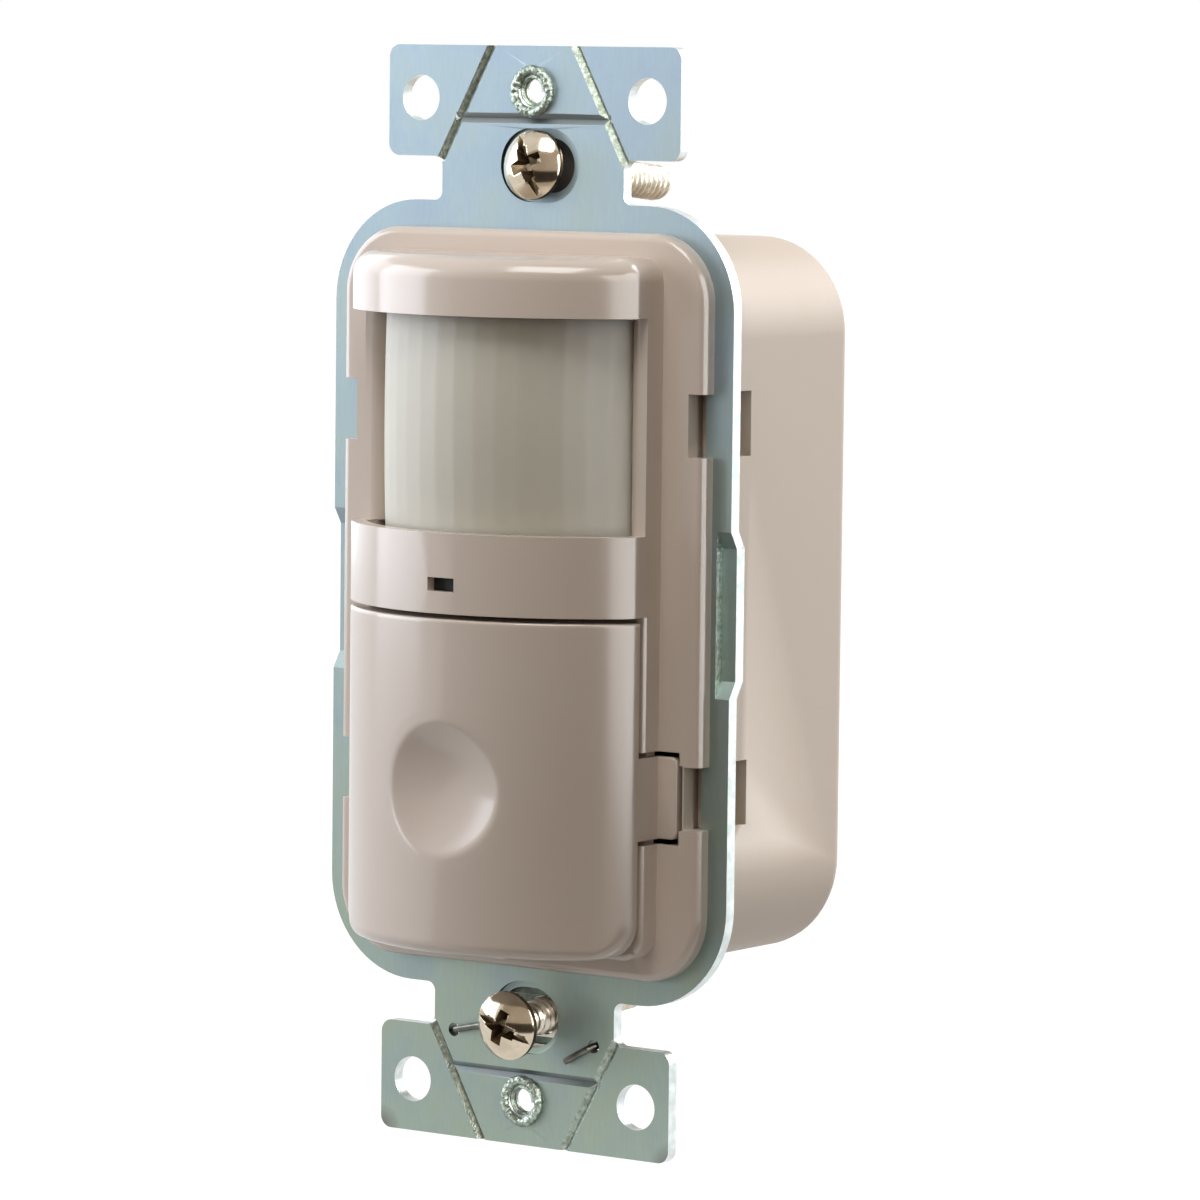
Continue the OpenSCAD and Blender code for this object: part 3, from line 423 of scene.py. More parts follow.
def jog_ramp(side, end):
    """The bend at one end of a sheared strip."""
    start = JOG_Z + end * (JOG_HALF + JOG_RAMP)
    stop = JOG_Z + end * (JOG_HALF - OVERLAP)
    outline = [(FACE_Y, start), (FACE_Y + JOG_SHEAR, stop), (FACE_Y + JOG_SHEAR + STRAP_T, stop), (0, start)]
    x = sorted((side * JOG_INNER, side * STRAP_HALF))
    return prism("jog_ramp", outline, x[0], x[1], 0)


def strap_finish(face):
    """Which of the strap's finishes a face takes."""
    x, y, z = (v / MM for v in face.center)
    facing = abs(face.normal.y)
    slanted = facing > 0.5
    at_jog = abs(x) > JOG_INNER - STRIP_MARGIN and abs(z - JOG_Z) < JOG_HALF + JOG_RAMP + OVERLAP
    if facing > FLAT or (at_jog and slanted):
        return ROLLED
    if at_jog and abs(x) < JOG_INNER + WALL_MARGIN:
        return SLANTED_GROOVE
    # Walls round the screw slots and the staple's holes take the dark finish: painted shade in these hollows
    if abs(x - SLOT_MID_X) < SLOT_REACH_X and abs(abs(z) - SLOT_Z) < SLOT_REACH_Z:
        return SHADED_WALL
    if abs(abs(x) - STAPLE_HALF) < STAPLE_REACH and abs(z - STAPLE_Z) < STAPLE_REACH:
        return SHADED_WALL
    if slanted and FACE_Y + 0.02 < y < FACE_Y + GROOVE_DEPTH + 0.02:
        return LEVEL_GROOVE if abs(face.normal.x) < 0.1 else SLANTED_GROOVE
    return SHEARED


def burr_tree():
    """A torn ring round a tapped hole, and the thread inside it, about the X axis of the tree's own frame."""
    tree, size = new_tree("tapped_burr", [
        "Ring radius", "Ring wall", "Rough", "Grain", "Thread radius", "Thread wire", "Thread height"])
    ring = add(tree, "GeometryNodeCurvePrimitiveCircle", {"Resolution": 120, "Radius": size["Ring radius"]})
    wall = add(tree, "GeometryNodeCurvePrimitiveCircle", {"Resolution": 14, "Radius": size["Ring wall"]})
    crown = add(tree, "GeometryNodeCurveToMesh", {"Curve": ring, "Profile Curve": wall})
    place = add(tree, "GeometryNodeInputPosition")
    grain = add(tree, "Math", [1.0, size["Grain"]], operation="DIVIDE")
    torn = add(tree, "TexNoise", {"Vector": place, "Scale": grain, "Detail": 2.0})
    centred = add(tree, "Math", [torn, 0.5], operation="SUBTRACT")
    lift = add(tree, "Math", [centred, size["Rough"]], operation="MULTIPLY")
    normal = add(tree, "GeometryNodeInputNormal")
    shift = add(tree, "VectorMath", {0: normal, 3: lift}, operation="SCALE")
    rough = add(tree, "GeometryNodeSetPosition", {"Geometry": crown, "Offset": shift})
    helix = add(tree, "GeometryNodeCurveSpiral", {
        "Resolution": 48, "Rotations": 2.0, "Start Radius": size["Thread radius"],
        "End Radius": size["Thread radius"], "Height": size["Thread height"]})
    tooth = add(tree, "GeometryNodeCurvePrimitiveCircle", {"Resolution": 6, "Radius": size["Thread wire"]})
    thread = add(tree, "GeometryNodeCurveToMesh", {"Curve": helix, "Profile Curve": tooth, "Fill Caps": True})
    both = add(tree, "GeometryNodeJoinGeometry")
    tree.links.new(rough.outputs[0], both.inputs[0])
    tree.links.new(thread.outputs[0], both.inputs[0])
    finish_tree(tree, both, size["Material"])
    return tree


def dress_strap():
    strap = copy_of("strap", "strap_uncut")
    ends = [(side, end) for side in (-1, 1) for end in (-1, 1)]
    gaps = []
    for side, end in ends:
        x = sorted((side * JOG_INNER, side * (STRAP_HALF + CLEAR)))
        z = sorted((JOG_Z + end * (JOG_HALF - OVERLAP), JOG_Z + end * (JOG_HALF + JOG_RAMP)))
        gaps.append(block((x[0], FACE_Y - CLEAR, z[0]), (x[1], CLEAR / 2, z[1])))
    cut(strap, gaps)
    ramps = [jog_ramp(side, end) for side, end in ends]
    strap = rounded(joined("strap_sheet", [strap] + ramps), 0.1, angle=28, segments=2)
    for material in STRAP_FINISHES:
        strap.data.materials.append(material)
    for face in strap.data.polygons:
        face.material_index = strap_finish(face)
    dress(strap, "switch_body", "zinc_steel", None, "strap")
    burr = burr_tree()
    turn = Matrix.Rotation(-pi / 2, 4, "X")
    for name, z in (("tapped_burr_top", PLATE_HOLE_Z), ("tapped_burr_bottom", -PLATE_HOLE_Z)):
        ring = grown(name, burr, {
            "Ring radius": (PLATE_HOLE_R + 0.55) * MM, "Ring wall": 0.45 * MM,
            "Rough": 0.5 * MM, "Grain": 0.36 * MM,
            "Thread radius": (PLATE_HOLE_R - 0.05) * MM, "Thread wire": 0.24 * MM,
            "Thread height": 1.3 * MM, "Material": zinc_groove})
        ring.data.transform(Matrix.Translation((0, (FACE_Y - 0.15) * MM, z * MM)) @ turn)
        shade(ring, 40)
        dress(ring, "switch_body", "zinc_steel", None)


# Mouldings

RAIL_Y = -5.47          # front of the cover's rails
RAIL_W = 0.85
CHEEK_INNER = 14.45     # where the rounded cheek beside the window meets the lens
CHEEK_Y = -4.5
WINDOW_LOW = 7.15
WINDOW_HIGH = 27.5
WELL_CORNER_R = 3.1     # rounding of the button well's lower corners
BEZEL_TOP = 33.1
PORT_Z = 2.3
PORT_Y = -14.2          # front of the lamp guide in the small port
PORT_HALF_W = 1.5
PORT_HALF_H = 0.62
SNAP_Z = 17.5           # height of the snap windows, and of the notches above them
SNAP_HALF = 3.08
SNAP_NEAR_Y = 1.6
SNAP_FAR_Y = 5.7        # how far a snap window of the housing reaches back
SNAP_CUT = 1.4          # how far its cutter reaches to each side of the wall's face
HOUSING_HALF = 20.75
TOE_GAP_INNER = 18.55   # the gap between a tab's toe and the notch in the cover's tier
TOE_GAP_OUTER = 19.35


def window_cheek(side):
    """The rounded inner side of a rail, which falls away to the lens."""
    outer = RAIL_INNER + SEAM
    reach = outer - CHEEK_INNER
    rise = RAIL_Y + SINK - CHEEK_Y
    outline = [(side * (outer - reach * cos(a)), CHEEK_Y + rise * sin(a))
               for a in quarter(12)]
    outline += [(side * outer, DECK_Y + OVERLAP), (side * CHEEK_INNER, DECK_Y + OVERLAP)]
    return prism("window_cheek", outline, WINDOW_LOW - SEAM, WINDOW_HIGH + SEAM, 2)


def well_corner(side):
    """The filled corner of the button well, which follows the button's own corner."""
    x = RAIL_INNER + SEAM
    z = -BEZEL_TOP + RAIL_W - SEAM
    outline = [(side * x, z)]
    outline += [(side * (x - WELL_CORNER_R * (1 - cos(a))), z + WELL_CORNER_R * (1 - sin(a)))
                for a in quarter(10)]
    return prism("well_corner", outline, RAIL_Y + SINK, DECK_Y + OVERLAP, 1)


def dress_mouldings():
    toe_gaps = [block((side * TOE_GAP_INNER, TIER_Y - 0.5, -SNAP_Z - SNAP_HALF),
                      (side * TOE_GAP_OUTER, FACE_Y - 0.02, -SNAP_Z + SNAP_HALF)) for side in (-1, 1)]
    cover = rounded(cut(copy_of("front_cover", "cover_shell"), toe_gaps), 0.3)
    filled = [form(side) for form in (window_cheek, well_corner) for side in (-1, 1)]
    for piece in filled:
        shade(piece)
    cover = joined("front_cover_moulding", [cover] + filled)
    dress(cover, "switch_body", "almond_gloss", almond_gloss, "front_cover")
    housing = copy_of("rear_housing", "rear_housing_moulding")
    windows = [block((side * HOUSING_HALF - SNAP_CUT, SNAP_NEAR_Y, end * SNAP_Z - SNAP_HALF),
                     (side * HOUSING_HALF + SNAP_CUT, SNAP_FAR_Y, end * SNAP_Z + SNAP_HALF))
               for side in (-1, 1) for end in (-1, 1)]
    housing = rounded(cut(housing, windows), 0.15)
    dress(housing, "switch_body", "almond_satin", almond_satin, "rear_housing")
    window = block((-PORT_HALF_W, PORT_Y, PORT_Z - PORT_HALF_H),
                   (PORT_HALF_W, PORT_Y + 2, PORT_Z + PORT_HALF_H))
    guide = rounded(joined("lamp_guide", [copy_of("light_guide", "guide_bar"), window]), 0.05)
    dress(guide, "switch_body", "smoked_acrylic", smoked_acrylic, "light_guide")


# Push button

BUTTON_LOW = -32.7
BUTTON_TOP = -0.94
BUTTON_CORNER_R = 3.4
BUTTON_LOW_R = 1.2
BUTTON_TOP_R = 0.25
BUTTON_WALL = 1.5
DIMPLE_Z = -17.0
DIMPLE_R = 6.3
DIMPLE_DEPTH = 1.5
DIMPLE_LIP = 0.14       # softness of the dimple's rim
TAB_MID_Z = -17.6
TAB_HALF = 3.9
TAB_REACH = 18.7
TOE_CORNER_R = 0.7
TOE_T = 1.0
TAB_ROOM = 0.2          # clearance between a leg and the cover's rail
TAB_ROOT = 0.3          # how deep a tab's parts run into each other and into the skirt
LEG_T = 1.1
LEG_PROUD = 0.004       # how far the flush leg stands out from the skirt, so that one face shows
HOOK_T = 0.9
HOOK_INSET = 1.0        # how much shorter the hook is than the toe, at each end
POST_R = 2.2
POST_END_Y = -1.3       # rear end of the post that meets the plunger
POST_EDGE = 0.2         # chamfer of that end


def inset(distance, radius):
    """How far a quarter-round edge has drawn in at a distance from the end."""
    return 0.0 if distance >= radius else radius - sqrt(radius ** 2 - (radius - distance) ** 2)


def bow(half_width, front, steps, corner_steps, side_steps):
    """The bowed outline seen from above, from the left rear edge round the front to the right rear edge."""
    arm = half_width - SIDE_R
    drop = sqrt((BOW_R - SIDE_R) ** 2 - arm ** 2)
    turn = atan2(arm, drop)
    corner_y = front + BOW_R - drop
    run = SKIRT_Y - corner_y
    side = [(half_width, corner_y + run * (side_steps - i) / side_steps) for i in range(side_steps)]
    corner = [(arm + SIDE_R * sin(t), corner_y - SIDE_R * cos(t))
              for t in (pi / 2 - (pi / 2 - turn) * i / corner_steps for i in range(corner_steps))]
    face = [(BOW_R * sin(t), front + BOW_R - BOW_R * cos(t))
            for t in (-turn + 2 * turn * i / steps for i in range(steps + 1))]
    flank = side + corner
    return [(-x, y) for x, y in flank] + face + flank[::-1]


def dimple(x, z):
    """Depth of the finger dimple below the bowed face."""
    hollow = DIMPLE_DEPTH * (1 - (x ** 2 + (z - DIMPLE_Z) ** 2) / DIMPLE_R ** 2)
    return (hollow + sqrt(hollow ** 2 + DIMPLE_LIP ** 2)) / 2 if hollow > -4 * DIMPLE_LIP else 0.0


def button_skin():
    """The button's skin, open towards the wall, with its dimple pressed in."""
    corner_rows = 18
    field_rows = 150
    top_rows = 4
    field_low = BUTTON_LOW + BUTTON_CORNER_R
    field_high = BUTTON_TOP - BUTTON_TOP_R
    heights = [BUTTON_LOW + BUTTON_CORNER_R * (1 - cos(pi / 2 * i / corner_rows)) for i in range(corner_rows)]
    heights += [field_low + (field_high - field_low) * i / field_rows for i in range(field_rows)]
    heights += [field_high + BUTTON_TOP_R * sin(pi / 2 * i / top_rows) for i in range(top_rows + 1)]
    points = []
    for z in heights:
        drawn_in = inset(z - BUTTON_LOW, BUTTON_CORNER_R) + inset(BUTTON_TOP - z, BUTTON_TOP_R)
        front = BOW_Y + inset(z - BUTTON_LOW, BUTTON_LOW_R) + inset(BUTTON_TOP - z, BUTTON_TOP_R)
        for x, y in bow(BEZEL_HALF - drawn_in, front, 150, 10, 6):
            points.append((x, y + dimple(x, z), z))
    across = len(points) // len(heights)
    faces = [(r * across + i, r * across + i + 1, (r + 1) * across + i + 1, (r + 1) * across + i)
             for r in range(len(heights) - 1) for i in range(across - 1)]
    faces.append(tuple(range(across))[::-1])
    faces.append(tuple((len(heights) - 1) * across + i for i in range(across)))
    skin = new_piece("button_skin", points, faces)
    wall = skin.modifiers.new("wall", "SOLIDIFY")
    wall.thickness = BUTTON_WALL * MM
    wall.offset = -1
    return settle(skin)


def button_tab(side):
    """One L-shaped tab: a flat toe over the cover's tier and a leg down through the floor."""
    inner = RAIL_INNER + TAB_ROOM
    low = TAB_MID_Z - TAB_HALF
    high = TAB_MID_Z + TAB_HALF
    hook_y = DECK_BACK_Y + OVERLAP
    hook_low = low + HOOK_INSET
    hook_high = high - HOOK_INSET
    bend = [(TAB_REACH - TOE_CORNER_R + TOE_CORNER_R * cos(a), high - TOE_CORNER_R + TOE_CORNER_R * sin(a))
            for a in quarter(6)]
    outline = bend + [(BEZEL_HALF - TAB_ROOT, high), (BEZEL_HALF - TAB_ROOT, low)]
    outline += [(x, low + high - z) for x, z in bend[::-1]]
    leg = block((inner, SKIRT_Y - 0.12, low), (BEZEL_HALF + LEG_PROUD, TIER_Y + TOE_T, high))
    parts = [prism("toe", outline, TIER_Y, TIER_Y + TOE_T, 1),
             block((inner, TIER_Y + TOE_T / 2, hook_low), (inner + LEG_T, hook_y + HOOK_T, hook_high)),
             block((inner - LEG_T, hook_y, hook_low), (inner + TAB_ROOT, hook_y + HOOK_T, hook_high))]
    for part in parts:
        rounded(part, 0.2)
    parts.append(leg)
    for part in parts:
        part.data.transform(Matrix.Diagonal((side, 1, 1, 1)))
        if side < 0:
            part.data.flip_normals()
    return parts


def dress_button():
    base_y = BOW_Y + BUTTON_WALL + 1.3
    post = turned("button_post", [(0, base_y), (POST_R, base_y), (POST_R, POST_END_Y - POST_EDGE),
                                  (POST_R - 0.3, POST_END_Y), (0, POST_END_Y)], 48)
    post.data.transform(Matrix.Translation((0, 0, DIMPLE_Z * MM)) @ Matrix.Rotation(-pi / 2, 4, "X"))
    button = joined("push_button_moulding", [button_skin(), post] + button_tab(1) + button_tab(-1))
    shade(button)
    dress(button, "button", "almond_gloss", almond_gloss, "push_button")


# Lens

LENS_HALF = 14.35
LENS_LOW = 5.95
LENS_HIGH = 28.7
LENS_FRONT = -13.57
LENS_EDGE = -4.87
LENS_BARREL = 0.5
LENS_T = 0.7
LENS_RIM = 0.9          # width of the flange behind the cover's floor
FLANGE_T = 0.8
LENS_FLATNESS = 0.9     # 1 flattens the bands fully
LENS_BANDS = 16         # upright optical segments across the lens


def lens_tree():
    """A banded sheet bent round an upright axis, with straight sides that run back to the cover."""
    tree, size = new_tree("banded_lens", [
        "Radius", "Half angle", "Side", "Height", "Low", "Front", "Barrel", "Bands"])
    reach = add(tree, "Math", [size["Side"], size["Radius"]], operation="DIVIDE")
    half = add(tree, "Math", [size["Half angle"], reach], operation="ADD")
    whole = add(tree, "Math", [half, 2.0], operation="MULTIPLY")
    grid = add(tree, "GeometryNodeMeshGrid", {
        "Size X": whole, "Size Y": size["Height"], "Vertices X": 161, "Vertices Y": 41})
    place = add(tree, "GeometryNodeInputPosition")
    split = add(tree, "SeparateXYZ", [place]).outputs
    limit = add(tree, "Math", [size["Half angle"], -1.0], operation="MULTIPLY")
    angle = add(tree, "Clamp", {"Value": split["X"], "Min": limit, "Max": size["Half angle"]})
    span = add(tree, "Math", [size["Half angle"], 2.0], operation="MULTIPLY")
    band = add(tree, "Math", [span, size["Bands"]], operation="DIVIDE")
    shifted = add(tree, "Math", [angle, size["Half angle"]], operation="ADD")
    within = add(tree, "Math", [shifted, band], operation="FLOORED_MODULO")
    middle = add(tree, "Math", [band, 0.5], operation="MULTIPLY")
    off = add(tree, "Math", [within, middle], operation="SUBTRACT")
    near = add(tree, "Math", [middle], operation="COSINE")
    away = add(tree, "Math", [off], operation="COSINE")
    flat = add(tree, "Math", [near, away], operation="DIVIDE")
    shrink = add(tree, "Math", [flat, 1.0], operation="SUBTRACT")
    softly = add(tree, "Math", [shrink, LENS_FLATNESS, 1.0], operation="MULTIPLY_ADD")
    radius = add(tree, "Math", [size["Radius"], softly], operation="MULTIPLY")
    across = add(tree, "Math", [angle], operation="SINE")
    inward = add(tree, "Math", [angle], operation="COSINE")
    x = add(tree, "Math", [across, radius], operation="MULTIPLY")
    chord = add(tree, "Math", [inward, radius], operation="MULTIPLY")
    sag = add(tree, "Math", [size["Radius"], chord], operation="SUBTRACT")
    width = add(tree, "Math", [split["X"]], operation="ABSOLUTE")
    excess = add(tree, "Math", [width, size["Half angle"]], operation="SUBTRACT")
    beyond = add(tree, "Math", [excess, 0.0], operation="MAXIMUM")
    side = add(tree, "Math", [beyond, size["Radius"]], operation="MULTIPLY")
    tall = add(tree, "Math", [size["Height"], 0.5], operation="MULTIPLY")
    level = add(tree, "Math", [split["Y"], tall], operation="DIVIDE")
    squared = add(tree, "Math", [level, level], operation="MULTIPLY")
    barrel = add(tree, "Math", [squared, size["Barrel"]], operation="MULTIPLY")
    middle_in = add(tree, "Math", [inward, barrel], operation="MULTIPLY")
    front = add(tree, "Math", [size["Front"], sag], operation="ADD")
    deep = add(tree, "Math", [front, middle_in], operation="ADD")
    y = add(tree, "Math", [deep, side], operation="ADD")
    centre = add(tree, "Math", [size["Low"], tall], operation="ADD")
    z = add(tree, "Math", [split["Y"], centre], operation="ADD")
    spot = add(tree, "CombineXYZ", [x, y, z])
    bent = add(tree, "GeometryNodeSetPosition", {"Geometry": grid, "Position": spot})
    finish_tree(tree, bent, size["Material"])
    return tree


def dress_lens():
    sag = LENS_EDGE - LENS_FRONT
    radius = (LENS_HALF ** 2 + sag ** 2) / (2 * sag)
    sheet = grown("lens_sheet", lens_tree(), {
        "Radius": radius * MM, "Half angle": asin(LENS_HALF / radius),
        "Side": (DECK_BACK_Y + 0.3 - LENS_EDGE) * MM, "Height": (LENS_HIGH - LENS_LOW) * MM,
        "Low": LENS_LOW * MM, "Front": LENS_FRONT * MM, "Barrel": LENS_BARREL * MM,
        "Bands": float(LENS_BANDS), "Material": milky_lens})
    wall = sheet.modifiers.new("wall", "SOLIDIFY")
    wall.thickness = LENS_T * MM
    wall.offset = -1
    settle(sheet)
    flange = block((-LENS_HALF - LENS_RIM, DECK_BACK_Y, LENS_LOW - LENS_RIM),
                   (LENS_HALF + LENS_RIM, DECK_BACK_Y + FLANGE_T, LENS_HIGH + LENS_RIM))
    opening = block((-LENS_HALF + LENS_T, -5, LENS_LOW + FLANGE_T),
                    (LENS_HALF - LENS_T, 0, LENS_HIGH - FLANGE_T))
    lens = joined("lens_moulding", [sheet, cut(flange, [opening])])
    shade(lens, 25)
    dress(lens, "switch_body", "lens_polyethylene", milky_lens, "lens")


# Screws

HEAD_R = 3.3
HEAD_RIM = 0.6
HEAD_H = 1.9
NECK_R = 1.5
NECK_L = 3.2
CREST_R = 1.75
ROOT_R = 1.32
SCREW_L = 20.8
THREAD_PITCH = 0.794    # 32 turns to the inch
TIP_R = 1.3
TIP_SLOPE = 0.56        # how fast the shank widens from its tip
SLOT_HALF_W = 0.35
SLOT_DEPTH = 1.2
CROSS_MOUTH = (1.95, 0.62)
CROSS_FLOOR = (0.9, 0.38)
CROSS_DEPTH = 1.7
RECESS_DEPTH = 0.12     # a face this far below the dome belongs to the slot or the cross
UNDERSIDE = -0.15       # and lies in front of this height
# Name, body, middle of the head's underside, lean and turn
SCREWS = (("mount_screw_top", "top_screw", (0.3, -1.17, 41.4), -95.4, 66),
          ("mount_screw_bottom", "bottom_screw", (1.3, -5.27, -40.41), -87.0, 22))


def shank_tree():
    """A threaded shank: a grid wrapped round its axis, X as the angle and Y as the distance from the head."""
    tree, size = new_tree("threaded_shank", [
        "Length", "Neck", "Neck radius", "Root", "Crest", "Pitch", "Tip"])
    grid = add(tree, "GeometryNodeMeshGrid", {
        "Size X": 2 * pi, "Size Y": size["Length"], "Vertices X": 49, "Vertices Y": 241})
    place = add(tree, "GeometryNodeInputPosition")
    split = add(tree, "SeparateXYZ", [place]).outputs
    half = add(tree, "Math", [size["Length"], 0.5], operation="MULTIPLY")
    along = add(tree, "Math", [split["Y"], half], operation="ADD")
    turns = add(tree, "Math", [along, size["Pitch"]], operation="DIVIDE")
    part = add(tree, "Math", [split["X"], 2 * pi], operation="DIVIDE")
    phase = add(tree, "Math", [turns, part], operation="SUBTRACT")
    wave = add(tree, "Math", [phase, 0.5], operation="PINGPONG")
    ridge = add(tree, "MapRange", {"Value": wave, "From Min": 0.07, "From Max": 0.43})
    thread = add(tree, "MapRange", {"Value": ridge, "To Min": size["Root"], "To Max": size["Crest"]})
    runout = add(tree, "Math", [size["Neck"], size["Pitch"]], operation="ADD")
    started = add(tree, "MapRange", {"Value": along, "From Min": size["Neck"], "From Max": runout})
    neck = add(tree, "MapRange", {
        "Value": ridge, "To Min": size["Root"], "To Max": size["Neck radius"]})
    body = add(tree, "MapRange", {"Value": started, "To Min": neck, "To Max": thread})
    left = add(tree, "Math", [size["Length"], along], operation="SUBTRACT")
    taper = add(tree, "Math", [left, TIP_SLOPE, size["Tip"]], operation="MULTIPLY_ADD")
    slim = add(tree, "Math", [body, taper], operation="MINIMUM")
    from_end = add(tree, "Math", [left, along], operation="MINIMUM")
    closed = add(tree, "Math", [from_end, 0.01 * MM], operation="GREATER_THAN")
    radius = add(tree, "Math", [slim, closed], operation="MULTIPLY")
    sine = add(tree, "Math", [split["X"]], operation="SINE")
    cosine = add(tree, "Math", [split["X"]], operation="COSINE")
    x = add(tree, "Math", [radius, cosine], operation="MULTIPLY")
    y = add(tree, "Math", [radius, sine], operation="MULTIPLY")
    spot = add(tree, "CombineXYZ", [x, y, along])
    wrapped = add(tree, "GeometryNodeSetPosition", {"Geometry": grid, "Position": spot})
    sewn = add(tree, "GeometryNodeMergeByDistance", {"Geometry": wrapped, "Distance": 0.001 * MM})
    finish_tree(tree, sewn, size["Material"])
    return tree


def screw_head():
    """A pan head with a slot across it and a cross recess that narrows downwards."""
    dome_r = (HEAD_R ** 2 + (HEAD_H - HEAD_RIM) ** 2) / (2 * (HEAD_H - HEAD_RIM))
    steps = 14
    spread = asin(HEAD_R / dome_r)
    dome = [(dome_r * sin(spread * i / steps), dome_r - HEAD_H - dome_r * cos(spread * i / steps))
            for i in range(steps + 1)]
    head = turned("screw_head", dome + [(HEAD_R, -0.1), (HEAD_R - 0.1, 0), (0, 0)])
    slot = block((-HEAD_R - CLEAR, -SLOT_HALF_W, -HEAD_H - CLEAR),
                 (HEAD_R + CLEAR, SLOT_HALF_W, -HEAD_H + SLOT_DEPTH))
    wings = [wing(CROSS_MOUTH, CROSS_FLOOR), wing(CROSS_MOUTH[::-1], CROSS_FLOOR[::-1])]
    head = rounded(cut(head, [slot] + wings), 0.06, angle=40, segments=2)
    for face in head.data.polygons:
        x, y, z = (v / MM for v in face.center)
        sunk = z - (dome_r - HEAD_H - sqrt(dome_r ** 2 - min(x * x + y * y, HEAD_R ** 2)))
        # Painted shade: faces sunk into the slot and the cross take the darker, browner recess finish
        in_shaded_recess = sunk > RECESS_DEPTH and z < UNDERSIDE and abs(face.normal.z) < FLAT
        face.material_index = 1 if in_shaded_recess else 0
    return head


def wing(mouth, floor):
    """One blade of the cross recess, a box that narrows from its mouth to its floor."""
    levels = (mouth, -HEAD_H - SEAM), (floor, -HEAD_H + CROSS_DEPTH)
    points = [(sx * w, sy * d, z) for (w, d), z in levels for sx, sy in ((-1, -1), (1, -1), (1, 1), (-1, 1))]
    faces = [(3, 2, 1, 0), (4, 5, 6, 7)] + [(i, (i + 1) % 4, 4 + (i + 1) % 4, 4 + i) for i in range(4)]
    return new_piece("wing", points, faces)


def dress_screws():
    shank = shank_tree()
    for name, body, point, lean, turn in SCREWS:
        rod = grown(name + "_shank", shank, {
            "Length": SCREW_L * MM, "Neck": NECK_L * MM, "Neck radius": NECK_R * MM, "Root": ROOT_R * MM,
            "Crest": CREST_R * MM, "Pitch": THREAD_PITCH * MM, "Tip": TIP_R * MM, "Material": nickel_plate})
        for face in rod.data.polygons:
            face.material_index = 2
        screw = joined(name + "_plated", [screw_head(), rod])
        tilt = Matrix.Rotation(radians(lean), 4, "X") @ Matrix.Rotation(radians(turn), 4, "Z")
        screw.data.transform(Matrix.Translation(Vector(point) * MM) @ tilt)
        shade(screw, 30)
        for material in (nickel_plate, nickel_recess_shade, nickel_thread):
            screw.data.materials.append(material)
        dress(screw, body, "nickel_steel", None, name)
    washer = rounded(copy_of("screw_retainer", "retainer_washer"), 0.08)
    dress(washer, "top_screw", "black_fibre", black_fibre, "screw_retainer")


# Ground clip and its staple

WIRE_R = 0.325
BEND_R = 0.5
CLIP_GROOVE_Z = -42.55
CLIP_GROOVE_HALF = 0.4
CLIP_SHADE_Z = -40.3    # the plate is painted dark above this height, as painted shade
UPTURN_LOW = (-2.6, 0.1, -38.2)     # the upturned edge that shows through the slot, painted dark as painted shade
UPTURN_HIGH = (5.0, 0.45, -36.3)
STAPLE_BACK_Y = 1.375
CLINCH_L = 3.5
CLINCH_SLOPES = (13, 29)


def wire_tree():
    """A round wire that follows a path, with its corners bent to a radius."""
    tree, size = new_tree("bent_wire", ["Wire radius", "Bend radius"])
    bent = add(tree, "GeometryNodeFilletCurve", {
        "Curve": size["Geometry"], "Radius": size["Bend radius"], "Limit Radius": True})
    if "Count" in bent.inputs:
        bent.inputs["Count"].default_value = 8
    profile = add(tree, "GeometryNodeCurvePrimitiveCircle", {"Resolution": 16, "Radius": size["Wire radius"]})
    tube = add(tree, "GeometryNodeCurveToMesh", {"Curve": bent, "Profile Curve": profile, "Fill Caps": True})
    finish_tree(tree, tube, size["Material"])
    return tree


def dress_clip():
    clip = rounded(copy_of("ground_clip", "ground_clip_plate"), 0.08)
    shape = bmesh.new()
    shape.from_mesh(clip.data)
    bmesh.ops.bisect_plane(shape, geom=shape.verts[:] + shape.edges[:] + shape.faces[:],
                           plane_co=(0, 0, CLIP_SHADE_Z * MM), plane_no=(0, 0, 1))
    shape.to_mesh(clip.data)
    shape.free()
    for material in (tin_plate, zinc_painted_shade):
        clip.data.materials.append(material)
    for face in clip.data.polygons:
        _, y, z = (v / MM for v in face.center)
        # Painted shade: the groove, and the plate above CLIP_SHADE_Z, take the dark wall finish
        in_shaded_groove = abs(z - CLIP_GROOVE_Z) < CLIP_GROOVE_HALF and 0.04 < y < 0.4
        face.material_index = 1 if in_shaded_groove or z > CLIP_SHADE_Z else 0
    dress(clip, "switch_body", "tinned_spring", None, "ground_clip")
    upturn = rounded(block(UPTURN_LOW, UPTURN_HIGH, "ground_clip_upturn"), 0.08)
    # The upturned edge takes the dark wall finish: painted shade
    dress(upturn, "switch_body", "tinned_spring", zinc_painted_shade)
    front = FACE_Y - WIRE_R
    route = []
    for side, slope in zip((-1, 1), CLINCH_SLOPES):
        end = (side * (STAPLE_HALF - CLINCH_L * cos(radians(slope))), front,
               STAPLE_Z - side * CLINCH_L * sin(radians(slope)))
        leg = [end, (side * STAPLE_HALF, front, STAPLE_Z), (side * STAPLE_HALF, STAPLE_BACK_Y, STAPLE_Z)]
        route += leg if side < 0 else leg[::-1]
    line = bpy.data.curves.new("staple_route", "CURVE")
    line.dimensions = "3D"
    spline = line.splines.new("POLY")
    spline.points.add(len(route) - 1)
    for point, spot in zip(spline.points, route):
        point.co = (*(Vector(spot) * MM), 1)
    staple = grown("clip_staple_wire", wire_tree(), {
        "Wire radius": WIRE_R * MM, "Bend radius": BEND_R * MM, "Material": drawn_wire},
        placed("staple_route", line))
    shade(staple)
    dress(staple, "switch_body", "nickel_steel", drawn_wire, "clip_staple")


# Inner parts, which keep their CAD shapes

